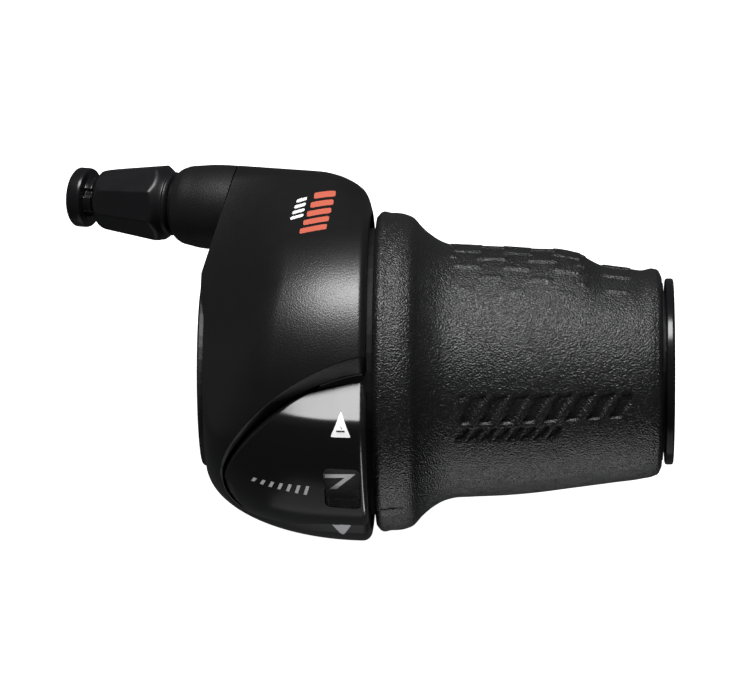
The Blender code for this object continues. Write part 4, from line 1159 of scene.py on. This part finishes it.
def make_numbers():
    """Gear numbers bonded to the ring, one box for each stroke."""
    points, faces = [], []
    for gear, strokes in DIGITS.items():
        centre = DIGIT_ANGLE - (GEAR_COUNT - gear) * GEAR_PITCH
        for path in strokes:
            scaled = (np.array(path) - 0.5) * DIGIT_SIZE
            scaled[:, 0] += scaled[:, 1] / DIGIT_SIZE[1] * DIGIT_LEAN
            left, right = stroke_outline(scaled, DIGIT_STROKE)
            for n in range(len(left) - 1):
                a = len(points)
                for lift in (-0.05, 0.04):
                    for p in (left[n], left[n + 1], right[n + 1], right[n]):
                        angle = centre + p[1] / NUMBER_RADIUS
                        points.append(around_bar(DIGIT_MIDDLE + p[0], NUMBER_RADIUS + lift, angle))
                faces += [(a, a + 1, a + 2, a + 3), (a + 7, a + 6, a + 5, a + 4)]
                faces += [(a + k, a + 4 + k, a + 4 + (k + 1) % 4, a + (k + 1) % 4) for k in range(4)]
    mesh = face_outwards(mesh_from("gear_numbers", points, faces))
    return new_piece("gear_numbers", mesh, LOOKS["white_print"], "grip", "number_ring")


# ---- stage, light and camera ------------------------------------------------------------------------
def make_floor():
    """Pale floor that shows to the camera but adds no light of its own to the object."""
    size, height = 3.0, -0.040
    around = ((-size, -size), (size, -size), (size, size), (-size, size))
    mesh = bpy.data.meshes.new("floor")
    mesh.from_pydata([(x, y, height) for x, y in around], [], [(0, 1, 2, 3)])
    floor = bpy.data.objects.new("floor", mesh)
    bpy.context.collection.objects.link(floor)
    look = bpy.data.materials.new("floor_white")
    look.use_nodes = True
    shader = look.node_tree.nodes["Principled BSDF"]
    shader.inputs["Base Color"].default_value = (0.9, 0.9, 0.9, 1.0)
    shader.inputs["Roughness"].default_value = 0.9
    shader.inputs["Emission Color"].default_value = (1.0, 1.0, 1.0, 1.0)
    shader.inputs["Emission Strength"].default_value = 1.0
    mesh.materials.append(look)
    floor.visible_glossy = False
    floor.visible_diffuse = False


def make_world():
    """White studio behind the object, dim in what it reflects."""
    world = bpy.data.worlds.new("studio")
    bpy.context.scene.world = world
    world.use_nodes = True
    nodes, links = world.node_tree.nodes, world.node_tree.links
    nodes.clear()
    dark, pale = nodes.new("ShaderNodeBackground"), nodes.new("ShaderNodeBackground")
    dark.inputs["Color"].default_value = (0.95, 0.97, 1.0, 1.0)
    dark.inputs["Strength"].default_value = 0.06
    pale.inputs["Strength"].default_value = 1.0
    pale.inputs["Color"].default_value = (1.0, 1.0, 1.0, 1.0)
    path, mix = nodes.new("ShaderNodeLightPath"), nodes.new("ShaderNodeMixShader")
    out = nodes.new("ShaderNodeOutputWorld")
    links.new(path.outputs["Is Camera Ray"], mix.inputs["Fac"])
    links.new(dark.outputs["Background"], mix.inputs[1])
    links.new(pale.outputs["Background"], mix.inputs[2])
    links.new(mix.outputs["Shader"], out.inputs["Surface"])


def area_light(name, direction, distance, wide, tall, radiance):
    """Rectangular softbox aimed at the object; wide lies along X as far as it can."""
    centre = Vector((0.022, 0.004, 0.012))
    data = bpy.data.lights.new(name, "AREA")
    data.shape = "RECTANGLE"
    data.size, data.size_y = wide, tall
    data.energy = radiance * math.pi * wide * tall
    lamp = bpy.data.objects.new(name, data)
    bpy.context.collection.objects.link(lamp)
    away = Vector(direction).normalized()
    side = (Vector((1.0, 0.0, 0.0)) - away * away.x).normalized()
    lamp.matrix_world = Matrix.Translation(centre + away * distance) @ Matrix(
        (side, away.cross(side), away)).transposed().to_4x4()
    lamp.visible_camera = False
    return lamp


def towards(degrees_y, degrees_x=0.0):
    """Direction leaning from +Z towards +Y, and then towards +X."""
    a, b = math.radians(degrees_y), math.radians(degrees_x)
    return (math.sin(b), math.sin(a) * math.cos(b), math.cos(a) * math.cos(b))


NUMBERS = ("gear_numbers", "number_ring")
PRINTS = ("arrow_up", "arrow_up_dash", "arrow_down", "gear_ticks", "orange_bars", "white_bars", *NUMBERS)
LAMPS = (                         # name, direction, distance, width, height, radiance, only these pieces
    ("key_softbox", towards(54.0, -3.0), 0.5, 0.32, 0.20, 15.5, ()),
    ("left_fill", towards(10.0, -92.0), 0.6, 0.4, 0.5, 0.08, ()),
    ("low_fill", towards(-102.0, 0.0), 0.6, 0.6, 0.45, 0.3, ()),
    ("right_strip", towards(-92.0, 33.0), 0.6, 0.07, 0.75, 9.0, ("panel_skin",)),
    ("cover_fill", towards(-78.0, 0.0), 0.6, 0.6, 0.3, 0.6, ("cover_skin",)),
    ("front_wash", towards(-25.0, 0.0), 0.7, 0.6, 0.5, 4.0, PRINTS),
    ("window_wash", towards(-46.0, 0.0), 0.5, 0.3, 0.3, 5.0, (*NUMBERS, "window_mask")),
    ("grip_fill", towards(-110.0, 8.0), 0.6, 0.5, 0.35, 2.8, ("grip_skin",)),
    ("grip_key", towards(54.0, 4.0), 0.5, 0.32, 0.16, 9.5, ("grip_skin",)),
)


def make_lights():
    """Softboxes; the washes light the prints without a reflection of their own."""
    for name, direction, distance, wide, tall, radiance, pieces in LAMPS:
        lamp = area_light(name, direction, distance, wide, tall, radiance)
        lamp.visible_glossy = "wash" not in name
        if pieces:
            lit = bpy.data.collections.new(name + "_receivers")
            for piece in pieces:
                lit.objects.link(bpy.data.objects[piece])
            lamp.light_linking.receiver_collection = lit


def make_camera():
    """Long lens over the rider's side, turned a little towards the outboard end."""
    target = Vector((0.0225, 0.0045, 0.0))
    turn, distance = math.radians(2.2), 0.750
    data = bpy.data.cameras.new("camera")
    data.lens, data.sensor_width = 223.2, 36.0
    data.clip_start, data.clip_end = 0.01, 10.0
    camera = bpy.data.objects.new("camera", data)
    camera.location = target + distance * Vector((math.sin(turn), 0.0, math.cos(turn)))
    camera.rotation_euler = (0.0, turn, 0.0)
    bpy.context.collection.objects.link(camera)
    bpy.context.scene.camera = camera
    bpy.context.scene.view_settings.view_transform = "Standard"


# ---- CAD nodes that keep their shape ------------------------------------------------------------------
NODE_LOOKS = {
    "bracket": "nylon", "cover_screw_1": "steel", "cover_screw_2": "steel", "clamp_bolt": "steel",
    "clamp_nut": "steel", "adjuster_nut": "brass", "adjuster_spring": "steel", "detent_spring": "steel",
    # the thrust washer and the grip core take the near-black core look as painted shade in the gaps by the
    # end ring and by the cover
    "cable_guide": "liner", "thrust_washer": "core", "access_plug": "nylon", "grip_core": "core",
    "cable_drum": "acetal", "index_ring": "liner", "number_ring": "numbers",
    "adjuster_o_ring": "smooth_rubber",
}


def dress_nodes():
    """Give the CAD nodes that stay visible their looks."""
    for node, look in NODE_LOOKS.items():
        thing = NODES[node]
        if not thing.material_slots:
            thing.data.materials.append(None)
        for slot in thing.material_slots:
            slot.link = "OBJECT"
            slot.material = LOOKS[look]


for make in (
    make_camera, make_world, make_floor, dress_nodes, make_cover, make_panel, make_lens, make_lower_cover,
    make_grip, make_end_ring, make_sleeve, make_barrel, make_plug, make_arrows, make_numbers,
    make_cover_bars, make_window_mask, make_lights,
):
    make()
